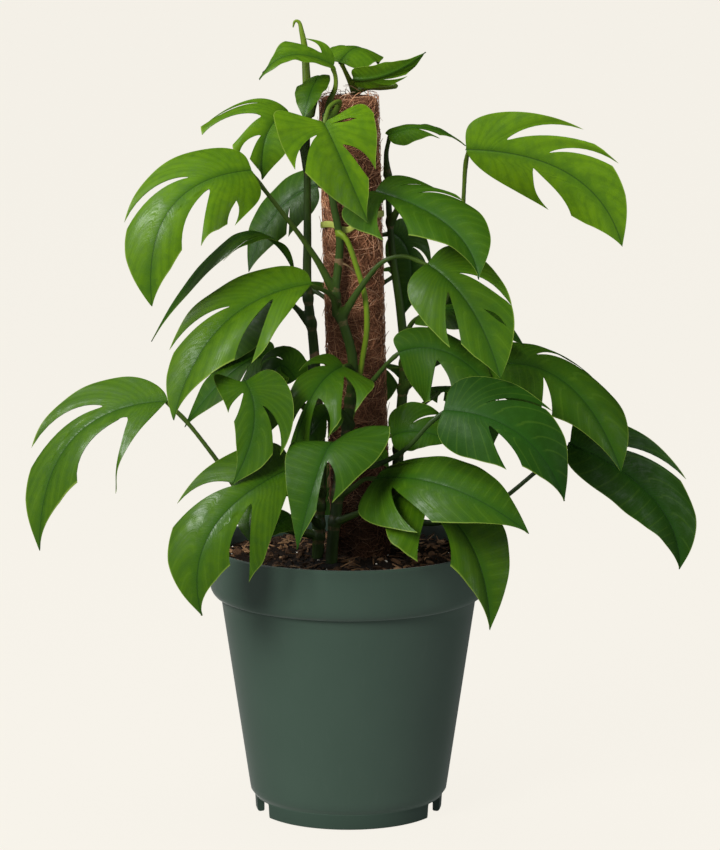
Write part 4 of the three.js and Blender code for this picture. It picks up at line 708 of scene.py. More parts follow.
def smooth_path(points, count):
    """Evenly spaced points on a centripetal Catmull-Rom curve through the given points."""
    knots = [Vector(p) for p in points]
    knots = [2 * knots[0] - knots[1], *knots, 2 * knots[-1] - knots[-2]]
    fine = []
    for a, b, c, d in zip(knots, knots[1:], knots[2:], knots[3:]):
        t1, t2, t3 = (max((q - p).length, 1e-4) ** 0.5 for p, q in ((a, b), (b, c), (c, d)))
        start = ((b - a) / t1 - (c - a) / (t1 + t2) + (c - b) / t2) * t2
        end = ((c - b) / t2 - (d - b) / (t2 + t3) + (d - c) / t3) * t2
        for k in range(16):
            t = k / 16
            fine.append(
                b * (2 * t**3 - 3 * t**2 + 1) + start * (t**3 - 2 * t**2 + t)
                + c * (3 * t**2 - 2 * t**3) + end * (t**3 - t**2)
            )
    fine = np.array([*fine, knots[-2]])
    steps = np.linalg.norm(np.diff(fine, axis=0), axis=1)
    run = np.concatenate([[0], np.cumsum(steps)])
    wanted = np.linspace(0, run[-1], count)
    return np.stack([np.interp(wanted, run, fine[:, k]) for k in range(3)], axis=1)


def frames(path, normal=None):
    """Each point of a path, with two directions across the path that don't twist round it."""
    tangents = unit(np.gradient(path, axis=0))
    if normal is None:
        normal = Vector(tangents[0]).orthogonal().normalized()
    for centre, tangent in zip(path, tangents):
        tangent = Vector(tangent)
        normal = (normal - tangent * normal.dot(tangent)).normalized()
        yield Vector(centre), normal, tangent.cross(normal)


def tube(path, radii, sides):
    """A closed round rod along a path, as points and faces."""
    points = []
    for (centre, normal, other), radius in zip(frames(path), radii):
        for angle in round_angles(sides):
            points.append(centre + (math.cos(angle) * normal + math.sin(angle) * other) * float(radius))
    faces = ring_faces(len(path), sides)
    faces.append(list(range(sides))[::-1])
    faces.append(list(range(len(points) - sides, len(points))))
    return points, faces


# ---- leaves ---------------------------------------------------------------------------------
def midrib(leaf, shares):
    """Points and directions on the midrib, straight on past either end."""
    base, mid, tip = (np.array(p, float) for p in (leaf.base, leaf.mid, leaf.tip))
    pull = 2 * mid - 0.5 * base - 0.5 * tip
    shares = np.asarray(shares, float)[..., None]
    t = np.clip(shares, 0, 1)
    run = 2 * (1 - t) * (pull - base) + 2 * t * (tip - pull)
    point = base * (1 - t) ** 2 + pull * 2 * t * (1 - t) + tip * t * t + run * (shares - t)
    return point, unit(run)


def upward(leaf, along):
    """The way the upper face looks, square to the midrib."""
    up = np.array(leaf.up, float)
    return unit(up - along * (along @ up)[..., None])


def envelope(margin, swell, taper):
    """Share of the greatest half-width: full near the base, drawn out to a point."""
    widest = swell / (swell + taper)
    full = (margin / widest) ** swell * ((1 - margin) / (1 - widest)) ** taper
    return full * (1 - TIP_PINCH * margin**10)


def cut_start(cut):
    return cut[3] if len(cut) > 3 else CUT_START


def is_hole(cut):
    return len(cut) > 4


def opened(cut, s):
    """How far a cut is open at share s of its vein, towards 1 for its full gap."""
    start = cut_start(cut)
    if is_hole(cut):
        return np.sin(np.pi * np.clip((s - start) / (cut[4] - start), 0, 1))
    t = np.clip((s - start) / (1 - start), 0, None)
    return t**CUT_ROUNDING * (1 - CUT_CLOSING * t * t)


def lay_veins(leaf, hand, stations, rows):
    """The veins of one half, lobe by lobe: for each point its root on the midrib, its share of
    the vein, its place on the margin and its arch; and the veins where a new lobe starts."""
    edges = [(0, 0, 0), *sorted((leaf.left, leaf.right)[hand]), (1, 1, 0)]
    breaks, columns = [], []
    for first, second in zip(edges, edges[1:]):
        if columns:
            breaks.append(len(columns))
        open_first = first is not edges[0] and not is_hole(first)
        open_second = second is not edges[-1] and not is_hole(second)
        for root in stations[(stations >= first[0] - 1e-9) & (stations <= second[0] + 1e-9)]:
            share = (root - first[0]) / (second[0] - first[0])
            shoulder = SHOULDER_REACH + (1 - SHOULDER_REACH) * min(1, share * 3) if open_first else 1
            tip = 1 + (leaf.point[hand] - 1) * share**3 if open_second else 1
            start = cut_start(first) + (cut_start(second) - cut_start(first)) * share
            s = rows + (shoulder * tip - 1) * np.clip((rows - start) / (1 - start), 0, 1)
            from_first = first[2] / 2 * (1 - share) * opened(first, s)
            from_second = second[2] / 2 * share * opened(second, s)
            place = first[1] + (second[1] - first[1]) * share + from_first - from_second
            arch = LOBE_ARCH * (2 * share - 1) ** 2
            columns.append((np.full_like(s, root), s, np.clip(place, 0, 1), np.full_like(s, arch)))
    return [np.array(part) for part in zip(*columns)], breaks


def blade_half(leaf, side, stations, rows, seed):
    """One half of the upper face: a grid of points with the fields that its finish reads."""
    hand = 0 if side < 0 else 1
    wide, droop, fold = leaf.wide[hand], leaf.droop[hand], leaf.fold[hand]
    (root, s, place, arch), breaks = lay_veins(leaf, hand, stations, rows)
    full = wide * envelope(place, leaf.swell[hand], leaf.taper[hand])
    across = full * (VEIN_SPREAD * s - (VEIN_SPREAD - 1) * s * s)
    lobed = place - leaf.lobing[hand] * np.sin(np.pi * place) * (1 - place) ** 4
    centre, along = midrib(leaf, root + (lobed - root) * s**VEIN_SWEEP)
    up = upward(leaf, along)
    out = np.cross(along, up) * side
    outward = np.clip((s - CUT_START) / (1 - CUT_START), 0, None) ** 0.5
    lift = fold * across - droop * across**2 / wide - arch * outward * across * s
    vein = VEINS_A_SIDE * place + 0.4 * np.sin(5 * place + seed) + 0.12 * np.sin(31 * place + 2 * seed)
    fading = np.clip((s - 0.04) / 0.2, 0, 1) * np.clip(1.15 - s, 0, 1)
    lift = lift - VEIN_RELIEF * np.clip(np.cos(2 * np.pi * vein), -0.4, 1) * fading
    rib = np.clip(1.1 - root, 0, 1)
    lift = lift - MIDRIB_GROOVE * rib * np.exp(-((across / MIDRIB_GROOVE_WIDTH) ** 2))
    wave = np.sin(2 * np.pi * (2.3 * place + seed)) + 0.5 * np.sin(2 * np.pi * (5.1 * place + 2.7 * seed))
    lift = lift + MARGIN_WAVE * wave * s**2 * np.sin(np.pi * np.clip(place, 0, 1))
    thick = 1 - MARGIN_THINNING + MARGIN_THINNING * np.clip(1.2 - s, 0, 1)
    thick = thick + (MIDRIB_THICKNESS / BLADE_THICKNESS - 1) * rib * np.exp(-((across / MIDRIB_WIDTH) ** 2))
    return {
        "points": centre + out * across[..., None] + up * lift[..., None], "Across": across,
        "Rim": s / s[:, -1:], "thick": thick, "vein": vein / VEIN_MAP_WIDTH, "s": s, "breaks": breaks,
    }


def stations_of(leaf, columns):
    """Shares of the midrib where columns start: every cut of either half, evenly filled in."""
    knots = sorted({0, 1, *(cut[0] for cut in (*leaf.left, *leaf.right))})
    stations = [np.zeros(1)]
    for low, high in zip(knots, knots[1:]):
        span = high - low
        for cuts in (leaf.left, leaf.right):
            edges = [(0, 0), *((cut[0], cut[1]) for cut in sorted(cuts)), (1, 1)]
            for (root_a, margin_a), (root_b, margin_b) in zip(edges, edges[1:]):
                held = max(0, min(high, root_b) - max(low, root_a))
                span = max(span, held * (margin_b - margin_a) / (root_b - root_a))
        parts = max(4, round(span * columns))
        fill = np.arange(1, parts + 1) / parts
        stations.append(low + (high - low) * (fill**1.4 if low == 0 else fill))
    return np.concatenate(stations)


def blade_surface(leaf, seed):
    """Points, faces, fields and vein map of the upper face, its halves welded on the midrib."""
    seen = leaf.name in FRESHNESS
    columns, outer_rows = (SEEN_COLUMNS, SEEN_ROWS) if seen else (SHADED_COLUMNS, SHADED_ROWS)
    outer = CUT_START + (1 - CUT_START) * (np.arange(1, outer_rows + 1) / outer_rows) ** 1.3
    rows = np.concatenate([INNER_ROWS, outer])
    stations = stations_of(leaf, columns)
    numbers, points, faces, vein_map = {}, [], [], []
    fields = {"Across": [], "Rim": [], "thick": []}
    for side in (-1, 1):
        half = blade_half(leaf, side, stations, rows, seed + 0.2 * side)
        grid = half["points"]
        ids = np.zeros(grid.shape[:2], int)
        for spot in np.ndindex(ids.shape):
            key = tuple(np.round(grid[spot] * 200).astype(int))
            if key not in numbers:
                numbers[key] = len(points)
                points.append(grid[spot])
                for name, values in fields.items():
                    values.append(half[name][spot])
            ids[spot] = numbers[key]
        for i, j in np.ndindex(ids.shape[0] - 1, ids.shape[1] - 1):
            if i + 1 in half["breaks"]:
                continue
            face, corners = [], []
            for corner in [(i, j), (i, j + 1), (i + 1, j + 1), (i + 1, j)][::side]:
                if ids[corner] not in face:
                    face.append(int(ids[corner]))
                    corners.append((half["vein"][corner], 0.5 + side * 0.45 * half["s"][corner]))
            if len(face) > 2:
                faces.append(face)
                vein_map += corners
    return points, faces, fields, vein_map


def make_leaf(leaf, number, finishes):
    points, faces, fields, vein_map = blade_surface(leaf, 0.37 * number)
    piece = from_points(f"{leaf.name}_blade", points, faces)
    layer = piece.data.uv_layers.new(name="Veins")
    layer.data.foreach_set("uv", np.array(vein_map, np.float32).ravel())
    write_field(piece, "Across", fields["Across"])
    write_field(piece, "Rim", fields["Rim"])
    write_field(piece, "Young", FRESHNESS.get(leaf.name, SHADED_FRESHNESS))
    write_field(piece, "Sheen", SHEEN.get(leaf.name, COMMON_SHEEN))
    thickest = max(fields["thick"])
    group = piece.vertex_groups.new(name="body")
    for i, thick in enumerate(fields["thick"]):
        group.add([i], thick / thickest, "REPLACE")
    modify(
        piece, "SOLIDIFY", thickness=BLADE_THICKNESS * thickest, offset=-1, vertex_group="body",
        use_even_offset=False, material_offset=1, material_offset_rim=2,
    )
    piece.vertex_groups.clear()
    bpy.ops.object.shade_smooth_by_angle(angle=math.radians(50))
    set_down(piece, finishes, [f"leaf_{leaf.name}"])


# ---- stems ----------------------------------------------------------------------------------
def stalk_end(leaf):
    """Just under the blade's base, so that the stalk runs into its midrib."""
    point, along = midrib(leaf, [0.0])
    up = upward(leaf, along)
    return point[0] - 0.9 * up[0] + 1.5 * along[0]


def stem_youth(point):
    """How much greener the stems are where they still grow, at the top of the pole."""
    return 0.6 * min(1, max(0, (point[2] - YOUNG_STEM_FROM) / YOUNG_STEM_RISE))


def make_vine(name, finish):
    """A climbing stem with its stalks, swollen and scarred at the nodes, fused into one skin."""
    line = smooth_path(VINES[name], 240)
    stalks = [leaf for leaf in LEAVES if leaf.vine == name]
    share = np.linspace(0, 1, len(line))
    radii = STEM_RADIUS * (1.05 - 0.6 * share**2)
    bark = np.zeros(len(line))
    for leaf in stalks:
        near = np.linalg.norm(line - np.array(leaf.stalk[0], float), axis=1)
        gap = np.abs(share - share[near.argmin()]) * STEM_LENGTH
        radii = radii + NODE_SWELL * np.exp(-((gap / NODE_LENGTH) ** 2))
        radii = radii - SCAR_DEPTH * np.exp(-(((gap - SCAR_GAP) / 0.9) ** 2))
        bark = np.maximum(bark, 0.6 * np.exp(-(((gap - SCAR_GAP + 0.8) / 1.6) ** 2)))
    parts = [tube(line, radii, 16)]
    samples = [(point, 0.05, scarred) for point, scarred in zip(line, bark)]
    for leaf in stalks:
        path = smooth_path([*leaf.stalk, stalk_end(leaf)], 56)
        s = np.linspace(0, 1, len(path))
        radii = STALK_RADIUS * (1 + 0.75 * (1 - s) ** 4 - 0.28 * s)
        knee = 0.22 * np.exp(-(((s - 0.9) / 0.05) ** 2))
        radii = radii * (1 + knee - 0.2 * np.clip((s - 0.96) / 0.04, 0, 1))
        parts.append(tube(path, radii, 12))
        young = 0.35 * FRESHNESS.get(leaf.name, SHADED_FRESHNESS)
        samples += [(point, young * (0.5 + t**3), 0) for point, t in zip(path, s)]
    for growth in GROWTHS:
        if growth.vine == name:
            path = smooth_path(growth.points, 30)
            parts.append(tube(path, np.full(len(path), growth.radius), 10))
            samples += [(point, growth.young, growth.bark) for point in path]
    piece = from_points(f"{name}_stem", *joined(parts))
    modify(piece, "REMESH", mode="VOXEL", voxel_size=STEM_VOXEL, adaptivity=0.0)
    modify(piece, "SMOOTH", factor=0.5, iterations=4)
    tree = kdtree.KDTree(len(samples))
    for i, (point, _, _) in enumerate(samples):
        tree.insert(point, i)
    tree.balance()
    nearest = [samples[tree.find(vertex.co)[1]] for vertex in piece.data.vertices]
    write_field(piece, "Young", [young + stem_youth(point) for point, young, _ in nearest])
    write_field(piece, "Bark", [scarred for _, _, scarred in nearest])
    bpy.ops.object.shade_smooth()
    set_down(piece, [finish], [f"vine_{name}"])


def make_new_leaf(finish):
    """The newest leaf, rolled round itself, with its outer margin as a seam up one side."""
    path = smooth_path(NEW_LEAF, 60)
    sides = 40
    points = []
    for i, (centre, normal, other) in enumerate(frames(path, Vector((0, -1, 0)))):
        s = i / (len(path) - 1)
        radius = NEW_LEAF_RADIUS * (1 - s) ** 0.7 * (0.75 + 0.5 * s) + 0.35
        for share in (j / (sides - 1) for j in range(sides)):
            angle = 2 * math.pi * NEW_LEAF_TURNS * share + 0.8 * s
            reach = radius * (0.62 + 0.38 * share)
            points.append(centre + reach * (math.cos(angle) * normal + math.sin(angle) * other))
    piece = from_points("rolled_leaf", points, ring_faces(len(path), sides, open_sides=True))
    modify(piece, "SOLIDIFY", thickness=0.45, offset=-1)
    write_field(piece, "Young", 0.8)
    write_field(piece, "Bark", 0)
    bpy.ops.object.shade_smooth_by_angle(angle=math.radians(50))
    set_down(piece, [finish], ["new_leaf"])


# ---- pole -----------------------------------------------------------------------------------
def on_pole(z):
    share = (z - POLE_FOOT.z) / (POLE_HEAD.z - POLE_FOOT.z)
    return POLE_FOOT.lerp(POLE_HEAD, share)


def make_matting(finish):
    """The sleeve of matted fibre under the loose strands, with the bore for its stake."""
    sides = 90
    head = POLE_HEAD.z
    levels = [(POLE_RADIUS - 0.9, z) for z in np.arange(POLE_FOOT.z, head - 2, 2.5)]
    levels += [(POLE_RADIUS - 1.6, head - 0.8), (POLE_RADIUS - 4, head + 0.4), (POLE_BORE + 3, head + 0.2)]
    levels += [(POLE_BORE + 0.4, head - 1), (POLE_BORE, head - 30), (POLE_BORE, POLE_FOOT.z)]
    points = []
    for radius, z in levels:
        for angle in round_angles(sides):
            spot = Vector((radius * math.cos(angle), radius * math.sin(angle), z))
            rough = 0.9 * noise.noise(spot * 0.22) + 0.5 * noise.noise(spot * 0.6)
            reach = radius + (rough if radius > POLE_BORE + 1 else 0)
            points.append(off_line(on_pole(z), reach, angle, z))
    piece = from_points("coir_matting", points, ring_faces(len(levels), sides, last_to_first=True))
    bpy.ops.object.shade_smooth()
    set_down(piece, [finish], ["coir_pole"])


def strand_lines(rng, one_each, t):
    """The strands' middle lines, each with the way outwards from the pole along it."""
    head = POLE_HEAD.z
    step = rng.uniform(*STRAND_LENGTHS, one_each) / (t.size - 1)
    heading = rng.normal(0.6, 0.9, one_each) * rng.choice([-1, 1], one_each)
    turn = heading + rng.normal(0, 0.9, one_each) * t
    angle = rng.uniform(0, 2 * np.pi, one_each) + np.cumsum(np.cos(turn) * step, axis=1) / POLE_RADIUS
    z = rng.uniform(SOIL_TOP - 12, head + 1, one_each) + np.cumsum(np.sin(turn) * step, axis=1) * 0.8
    z = np.minimum(z, head + rng.uniform(0, 5, one_each) ** 1.2)
    proud = rng.uniform(-0.4, 0.5, one_each) + 0.5 * np.sin(np.pi * t) * rng.uniform(0, 1, one_each)
    loose = (rng.random(one_each) < 0.12) * rng.uniform(0.5, 3.2, one_each)
    reach = POLE_RADIUS - 0.2 + proud + loose * t**2
    reach = reach - np.clip(z - head, 0, None) * rng.uniform(-0.4, 1.6, one_each)
    share = (z - POLE_FOOT.z) / (head - POLE_FOOT.z)
    centre_x = POLE_FOOT.x + (POLE_HEAD.x - POLE_FOOT.x) * share
    centre_y = POLE_FOOT.y + (POLE_HEAD.y - POLE_FOOT.y) * share
    path = np.stack([centre_x + reach * np.cos(angle), centre_y + reach * np.sin(angle), z], axis=2)
    return path, np.stack([np.cos(angle), np.sin(angle), np.zeros_like(angle)], axis=2)


def make_strands(finish):
    """Loose coir strands, laid over the sleeve in every direction and standing off its top."""
    rng = np.random.default_rng(21)
    one_each = (STRANDS, 1)
    steps, sides = 6, 3
    t = np.linspace(0, 1, steps)[None, :]
    path, outward = strand_lines(rng, one_each, t)
    tangent = unit(np.gradient(path, axis=1))
    normal = unit(outward - tangent * (tangent * outward).sum(axis=2, keepdims=True))
    other = np.cross(tangent, normal)
    radius = (rng.uniform(*STRAND_RADII, one_each) * (1 - 0.45 * t**2))[..., None]
    rings = [path + radius * (math.cos(a) * normal + math.sin(a) * other) for a in round_angles(sides)]
    points = np.stack(rings, axis=2).reshape(-1, 3)
    each = steps * sides
    first_points = np.arange(STRANDS)[:, None, None] * each
    walls = (np.array(ring_faces(steps, sides))[None] + first_points).reshape(-1, 4)
    ends = (np.array([[2, 1, 0], [each - 3, each - 2, each - 1]])[None] + first_points).reshape(-1, 3)
    piece = from_points("coir_strands", points.tolist(), [*walls.tolist(), *ends.tolist()])
    tone = np.clip(rng.normal(0.45, 0.2, STRANDS) + (rng.random(STRANDS) < 0.08) * 0.3, 0, 1)
    write_field(piece, "Tone", np.repeat(tone, each))
    set_down(piece, [finish], ["coir_pole"])


def make_stake(finish):
    foot, head = on_pole(STAKE_FOOT), on_pole(POLE_HEAD.z - 4)
    lean = (head - foot).to_track_quat("Z", "Y").to_euler()
    nothing_selected()
    bpy.ops.mesh.primitive_cylinder_add(
        vertices=40, radius=STAKE_RADIUS, depth=(head - foot).length,
        location=(head + foot) / 2, rotation=lean,
    )
    piece = bpy.context.object
    piece.name = "wooden_stake"
    bpy.ops.object.transform_apply(location=True, rotation=True, scale=True)
    modify(piece, "BEVEL", width=0.8, segments=3, limit_method="ANGLE")
    bpy.ops.object.shade_smooth_by_angle(angle=math.radians(40))
    set_down(piece, [finish], ["pole_stake"])


def make_tie(finish):
    """A soft flat tie, pulled round the pole and down into a V where it passes the stems."""
    sides, corners = 120, 12
    profile = []
    for angle in round_angles(corners):
        out = TIE_THICKNESS / 2 * (1 + math.cos(angle) * 0.9)
        rise = TIE_WIDTH / 2 * math.copysign(abs(math.sin(angle)) ** 0.6, math.sin(angle))
        profile.append((out, rise))
    points = []
    for angle in round_angles(sides):
        from_dip = angle + math.pi / 2 + 0.15
        from_dip = math.atan2(math.sin(from_dip), math.cos(from_dip))
        dip = -TIE_DIP * math.exp(-((from_dip / 0.42) ** 2))
        middle = TIE_Z + TIE_LEAN * math.cos(angle + 0.6) + dip
        for out, rise in profile:
            reach = POLE_RADIUS + 0.4 + out + 0.3 * math.sin(9 * angle)
            points.append(off_line(on_pole(TIE_Z), reach, angle, middle + rise))
    faces = turned_round(ring_faces(sides, corners, last_to_first=True))
    piece = from_points("soft_tie", points, faces)
    bpy.ops.object.shade_smooth()
    set_down(piece, [finish], ["plant_tie"])


# ---- soil -----------------------------------------------------------------------------------
def soil_height(x, y):
    share = math.hypot(x, y) / RIM_RADIUS
    lump = 1.6 * noise.noise(Vector((x, y, 0)) * 0.045) + 1.1 * noise.noise(Vector((x, y, 7)) * 0.14)
    crumb = 0.7 * noise.noise(Vector((x, y, 3)) * 0.5)
    return SOIL_TOP + SOIL_MOUND * (1 - share**2) + lump + crumb - 0.6


def make_soil(finish):
    """The potting mix: its uneven top, and its sides and bottom just inside the pot's wall."""
    sides, rings = 220, 84
    bottom = FOOT_HEIGHT + POT_FLOOR + 0.35
    points = [(0, 0, soil_height(0, 0))]
    # rings from the middle outwards, with no height of their own on the uneven top
    levels = [(SOIL_RADIUS * (i + 1) / rings, None) for i in range(rings)]
    levels += [
        (SOIL_RADIUS - 0.2, BAND_FOOT + 5.5), (BAND_STEP_RADIUS - POT_WALL - 0.8, BAND_FOOT - 0.5),
        (BODY_FOOT_RADIUS - POT_WALL - 1, FOOT_HEIGHT + 11), (BODY_FOOT_RADIUS - 8, bottom), (30, bottom),
    ]
    for radius, z in levels:
        for angle in round_angles(sides):
            x, y = radius * math.cos(angle), radius * math.sin(angle)
            points.append((x, y, soil_height(x, y) if z is None else z))
    faces = [[0, 1 + j, 1 + (j + 1) % sides] for j in range(sides)]
    faces += turned_round(ring_faces(len(levels), sides), first_point=1)
    faces.append(list(range(len(points) - sides, len(points)))[::-1])
    piece = from_points("potting_soil", points, faces)
    write_field(piece, "Tone", 0.12)
    bpy.ops.object.shade_smooth()
    set_down(piece, [finish], ["soil"])


def chip_shapes():
    """Rough lumps that the loose mix is copied from: four of bark, a pale grain and a crumb."""
    shapes = []
    forms = ((1, 0.55, 0.3), (1, 0.4, 0.22), (0.8, 0.7, 0.4), (1, 0.3, 0.3), (0.9, 0.8, 0.7), (1, 0.7, 0.6))
    for seed, stretch in enumerate(forms):
        nothing_selected()
        bpy.ops.mesh.primitive_ico_sphere_add(subdivisions=2 if seed < 4 else 1, radius=1)
        lump = bpy.context.object
        bpy.ops.object.mode_set(mode="EDIT")
        bpy.ops.mesh.select_all(action="SELECT")
        bpy.ops.transform.resize(value=stretch)
        bpy.ops.transform.vertex_random(offset=0.16, seed=seed)
        bpy.ops.object.mode_set(mode="OBJECT")
        points = np.array([vertex.co[:] for vertex in lump.data.vertices])
        faces = [list(polygon.vertices) for polygon in lump.data.polygons]
        shapes.append((points, faces))
        bpy.data.objects.remove(lump)
    return shapes


def make_loose_mix(finish):
    """Bark chips, crumbs, pale grains and bits of fibre lying on the soil."""
    rng = random.Random(8)
    *bark_shapes, grain_shape, crumb_shape = chip_shapes()
    parts, tones = [], []
    for kind, count in (("bark", 520), ("crumb", 900), ("grain", 90), ("shred", 150)):
        for _ in range(count):
            radius = LOOSE_MIX_RADIUS * math.sqrt(rng.random())
            angle = rng.uniform(0, 2 * math.pi)
            x, y = radius * math.cos(angle), radius * math.sin(angle)
            points, faces = bark_shapes[rng.randrange(len(bark_shapes))]
            if kind == "bark":
                size = rng.uniform(1.6, 5.2)
                tone = min(0.92, max(0.2, rng.gauss(0.5, 0.15)))
            elif kind == "crumb":
                points, faces = crumb_shape
                size = rng.uniform(0.6, 1.8)
                tone = rng.uniform(0.1, 0.6)
            elif kind == "grain":
                points, faces = grain_shape
                size = rng.uniform(0.5, 1.3)
                tone = 1.0
            else:
                points = points * np.array((1, 0.16, 0.16))
                size = rng.uniform(4, 11)
                tone = rng.uniform(0.6, 0.85)
            turn = Matrix.Rotation(rng.uniform(0, 2 * math.pi), 3, "Z")
            tip = Matrix.Rotation(rng.gauss(0, 0.35), 3, "X") @ Matrix.Rotation(rng.gauss(0, 0.35), 3, "Y")
            spot = np.array((x, y, soil_height(x, y) + size * 0.12))
            if radius + size > SOIL_RADIUS - 0.4:
                spot[:2] *= (SOIL_RADIUS - 0.9 - size) / radius
            parts.append((points * size @ np.array(turn @ tip).T + spot, faces))
            tones += [tone] * len(points)
    piece = from_points("loose_mix", *joined(parts))
    write_field(piece, "Tone", tones)
    set_down(piece, [finish], ["soil"])


# ---- pot ------------------------------------------------------------------------------------
def pot_section():
    """Half the pot's section, from the middle of the foot out to the lip and down inside."""
    foot_inside = FOOT_RADIUS - FOOT_WALL
    body_foot = FOOT_HEIGHT + 8
    body_rise = BAND_FOOT - 1.2 - body_foot
    lip = RIM_RADIUS - POT_WALL
    foot = [
        (0, FOOT_HEIGHT), (foot_inside, FOOT_HEIGHT), (foot_inside, 0.8), (foot_inside + 0.8, 0),
        (FOOT_RADIUS - 1.5, 0), (FOOT_RADIUS - 0.4, 0.5), (FOOT_RADIUS, 1.6),
        (FOOT_RADIUS + 0.6, FOOT_HEIGHT - 0.6), (FOOT_RADIUS + 1.1, FOOT_HEIGHT + 0.1),
        (BODY_FOOT_RADIUS - 2.2, FOOT_HEIGHT + 1.4), (BODY_FOOT_RADIUS - 0.7, FOOT_HEIGHT + 3.6),
    ]
    body = [
        (BODY_FOOT_RADIUS + (BAND_STEP_RADIUS - BODY_FOOT_RADIUS) * k / 16, body_foot + body_rise * k / 16)
        for k in range(16)
    ]
    band = [
        (BAND_STEP_RADIUS, BAND_FOOT - 1.0), (BAND_STEP_RADIUS + 0.5, BAND_FOOT - 0.2),
        (BAND_STEP_RADIUS + 2.6, BAND_FOOT + 0.3), (BAND_STEP_RADIUS + 4.8, BAND_FOOT + 1.2),
        (RIM_RADIUS - 2.4, BAND_FOOT + 2.8), (RIM_RADIUS - 1.2, BAND_FOOT + 5.2),
        (RIM_RADIUS - 0.6, BAND_FOOT + 9), (RIM_RADIUS - 0.45, BAND_FOOT + 18),
        (RIM_RADIUS - 0.25, BAND_FOOT + 28), (RIM_RADIUS - 0.15, POT_HEIGHT - 3.4),
        (RIM_RADIUS + 0.1, POT_HEIGHT - 2.6), (RIM_RADIUS + 0.25, POT_HEIGHT - 1.5),
        (RIM_RADIUS + 0.1, POT_HEIGHT - 0.6), (RIM_RADIUS - 0.5, POT_HEIGHT - 0.05),
        (RIM_RADIUS - 1.4, POT_HEIGHT),
    ]
    inside = [
        (lip - 0.2, POT_HEIGHT - 0.3), (lip - 0.6, POT_HEIGHT - 1.2), (lip - 0.8, POT_HEIGHT - 8),
        (lip - 1, BAND_FOOT + 4), (BAND_STEP_RADIUS - POT_WALL, BAND_FOOT - 2),
        (BODY_FOOT_RADIUS - POT_WALL, FOOT_HEIGHT + 9), (BODY_FOOT_RADIUS - 6, FOOT_HEIGHT + POT_FLOOR),
        (0, FOOT_HEIGHT + POT_FLOOR),
    ]
    return [*foot, *body, *band, *inside]


def cut(piece, cutter):
    modify(piece, "BOOLEAN", operation="DIFFERENCE", solver="EXACT", object=cutter)
    bpy.data.objects.remove(cutter)


def make_pot(finish):
    """The pot's section is spun round its axis; then its notches and drain holes are cut."""
    drawn = [(radius, 0, z) for radius, z in pot_section()]
    piece = from_points("nursery_pot", drawn, [], [(i, i + 1) for i in range(len(drawn) - 1)])
    bpy.ops.object.mode_set(mode="EDIT")
    bpy.ops.mesh.select_all(action="SELECT")
    bpy.ops.mesh.spin(steps=180, angle=2 * math.pi, center=(0, 0, 0), axis=(0, 0, 1))
    bpy.ops.mesh.select_all(action="SELECT")
    bpy.ops.mesh.remove_doubles(threshold=0.01)
    bpy.ops.mesh.normals_make_consistent(inside=False)
    bpy.ops.object.mode_set(mode="OBJECT")
    for degrees in NOTCH_ANGLES:
        angle = math.radians(degrees - 90)
        facing = Vector((math.cos(angle), math.sin(angle), 0))
        nothing_selected()
        bpy.ops.mesh.primitive_cube_add(size=1, location=facing * FOOT_RADIUS, rotation=(0, 0, angle))
        notch = bpy.context.object
        notch.scale = (NOTCH_DEPTH, NOTCH_WIDTH, FOOT_HEIGHT * 2 - 2)
        bpy.ops.object.transform_apply(location=True, rotation=True, scale=True)
        modify(notch, "BEVEL", width=1.2, segments=3)
        cut(piece, notch)
        nothing_selected()
        hole = facing * DRAIN_CIRCLE + Vector((0, 0, FOOT_HEIGHT + POT_FLOOR / 2))
        bpy.ops.mesh.primitive_cylinder_add(vertices=32, radius=DRAIN_RADIUS, depth=12, location=hole)
        drain = bpy.context.object
        bpy.ops.object.transform_apply(location=True, rotation=True, scale=True)
        cut(piece, drain)
    only(piece)
    bpy.ops.object.shade_smooth_by_angle(angle=math.radians(32))
    set_down(piece, [finish], ["pot"])


# ---- studio ---------------------------------------------------------------------------------
def make_floor():
    """A plain pale floor that fills the view; it throws no light of its own on the plant."""
    nothing_selected()
    bpy.ops.mesh.primitive_plane_add(size=FLOOR_SIZE, location=(0, 0, -FLOOR_DROP))
    floor = bpy.context.object
    floor.name = "studio_floor"
    finish = Finish("pale_floor")
    glow = finish.put("ShaderNodeEmission", {}, {"Color": FLOOR_GLOW, "Strength": 1.0})
    card = finish.put("ShaderNodeBsdfDiffuse", {}, {"Color": FLOOR_CARD})
    card_on_glow = finish.put("ShaderNodeMixShader", {}, {0: FLOOR_SHADE, 1: glow, 2: card})
    floor.data.materials.append(finish.closed(card_on_glow))
    finish.material.cycles.emission_sampling = "NONE"
    floor.visible_diffuse = False
    floor.visible_glossy = False


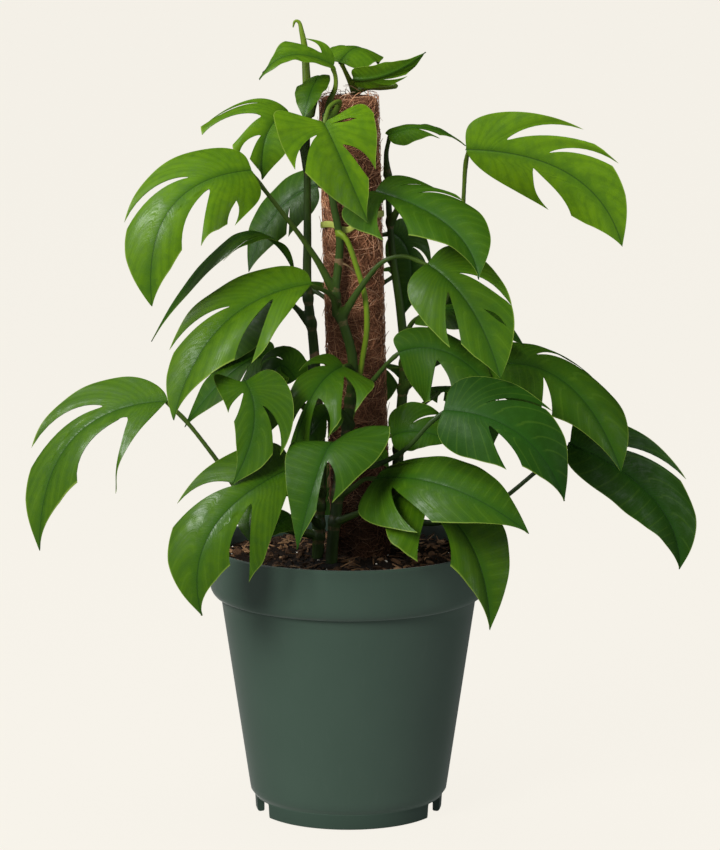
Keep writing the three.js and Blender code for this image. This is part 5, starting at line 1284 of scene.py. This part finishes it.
def softbox(name, place, size, power, colour=WHITE, aim=PLANT_MIDDLE, fill=True, gloss=True):
    """A soft lamp, aimed at the plant unless told otherwise, to light it, to show in its gloss or both."""
    light = bpy.data.lights.new(name, "AREA")
    light.shape = "RECTANGLE"
    light.size, light.size_y = size
    light.energy = power
    light.color = colour
    lamp = bpy.data.objects.new(name, light)
    lamp.location = place
    lamp.rotation_euler = (Vector(aim) - Vector(place)).to_track_quat("-Z", "Y").to_euler()
    lamp.visible_diffuse = fill
    lamp.visible_glossy = gloss
    lamp.visible_camera = False
    bpy.context.scene.collection.objects.link(lamp)


def make_studio():
    scene = bpy.context.scene
    scene.view_settings.view_transform = "Standard"
    scene.view_settings.look = "None"
    world = bpy.data.worlds.new("studio_light")
    scene.world = world
    world.use_nodes = True
    world.node_tree.nodes["Background"].inputs[0].default_value = (*SKY_COLOUR, 1)
    world.node_tree.nodes["Background"].inputs[1].default_value = SKY_STRENGTH
    world.cycles_visibility.glossy = False
    softbox("key_softbox", (-1.5, -2.1, 1.7), (1.1, 1.1), 84, (1.0, 0.98, 0.94), gloss=False)
    softbox("top_softbox", (-0.2, 0.1, 2.3), (1.3, 1.0), 24, gloss=False)
    softbox("gloss_softbox", (-1.6, -0.6, 1.8), (1.2, 1.2), 45, fill=False)
    softbox("floor_bounce", (0, -0.4, 0.01), (1.6, 1.2), 2, (1.0, 0.98, 0.93), aim=(0, -0.4, 1), gloss=False)
    softbox("side_softbox", (2.0, -0.6, 1.0), (0.5, 1.4), 5, (0.95, 0.98, 1.0))
    make_floor()
    camera = bpy.data.cameras.new("camera")
    camera.lens = LENS
    camera.sensor_width = SENSOR
    camera.clip_end = 100
    stand = bpy.data.objects.new("camera", camera)
    stand.location = POT_AXIS + CAMERA_PLACE
    stand.rotation_euler = (math.pi / 2 - CAMERA_PITCH, 0, 0)
    scene.collection.objects.link(stand)
    scene.camera = stand


# ---- the whole plant ------------------------------------------------------------------------
make_studio()
make_pot(pot_plastic())
mix = potting_mix()
make_soil(mix)
make_loose_mix(mix)
make_matting(coir_matting())
make_strands(coir_fibre())
make_stake(stake_wood())
make_tie(soft_tie())
skin = stem_skin()
for vine_name in VINES:
    make_vine(vine_name, skin)
make_new_leaf(skin)
blade_finishes = [leaf_top(), leaf_underside(), leaf_margin()]
for leaf_number, leaf_row in enumerate(LEAVES):
    make_leaf(leaf_row, leaf_number, blade_finishes)
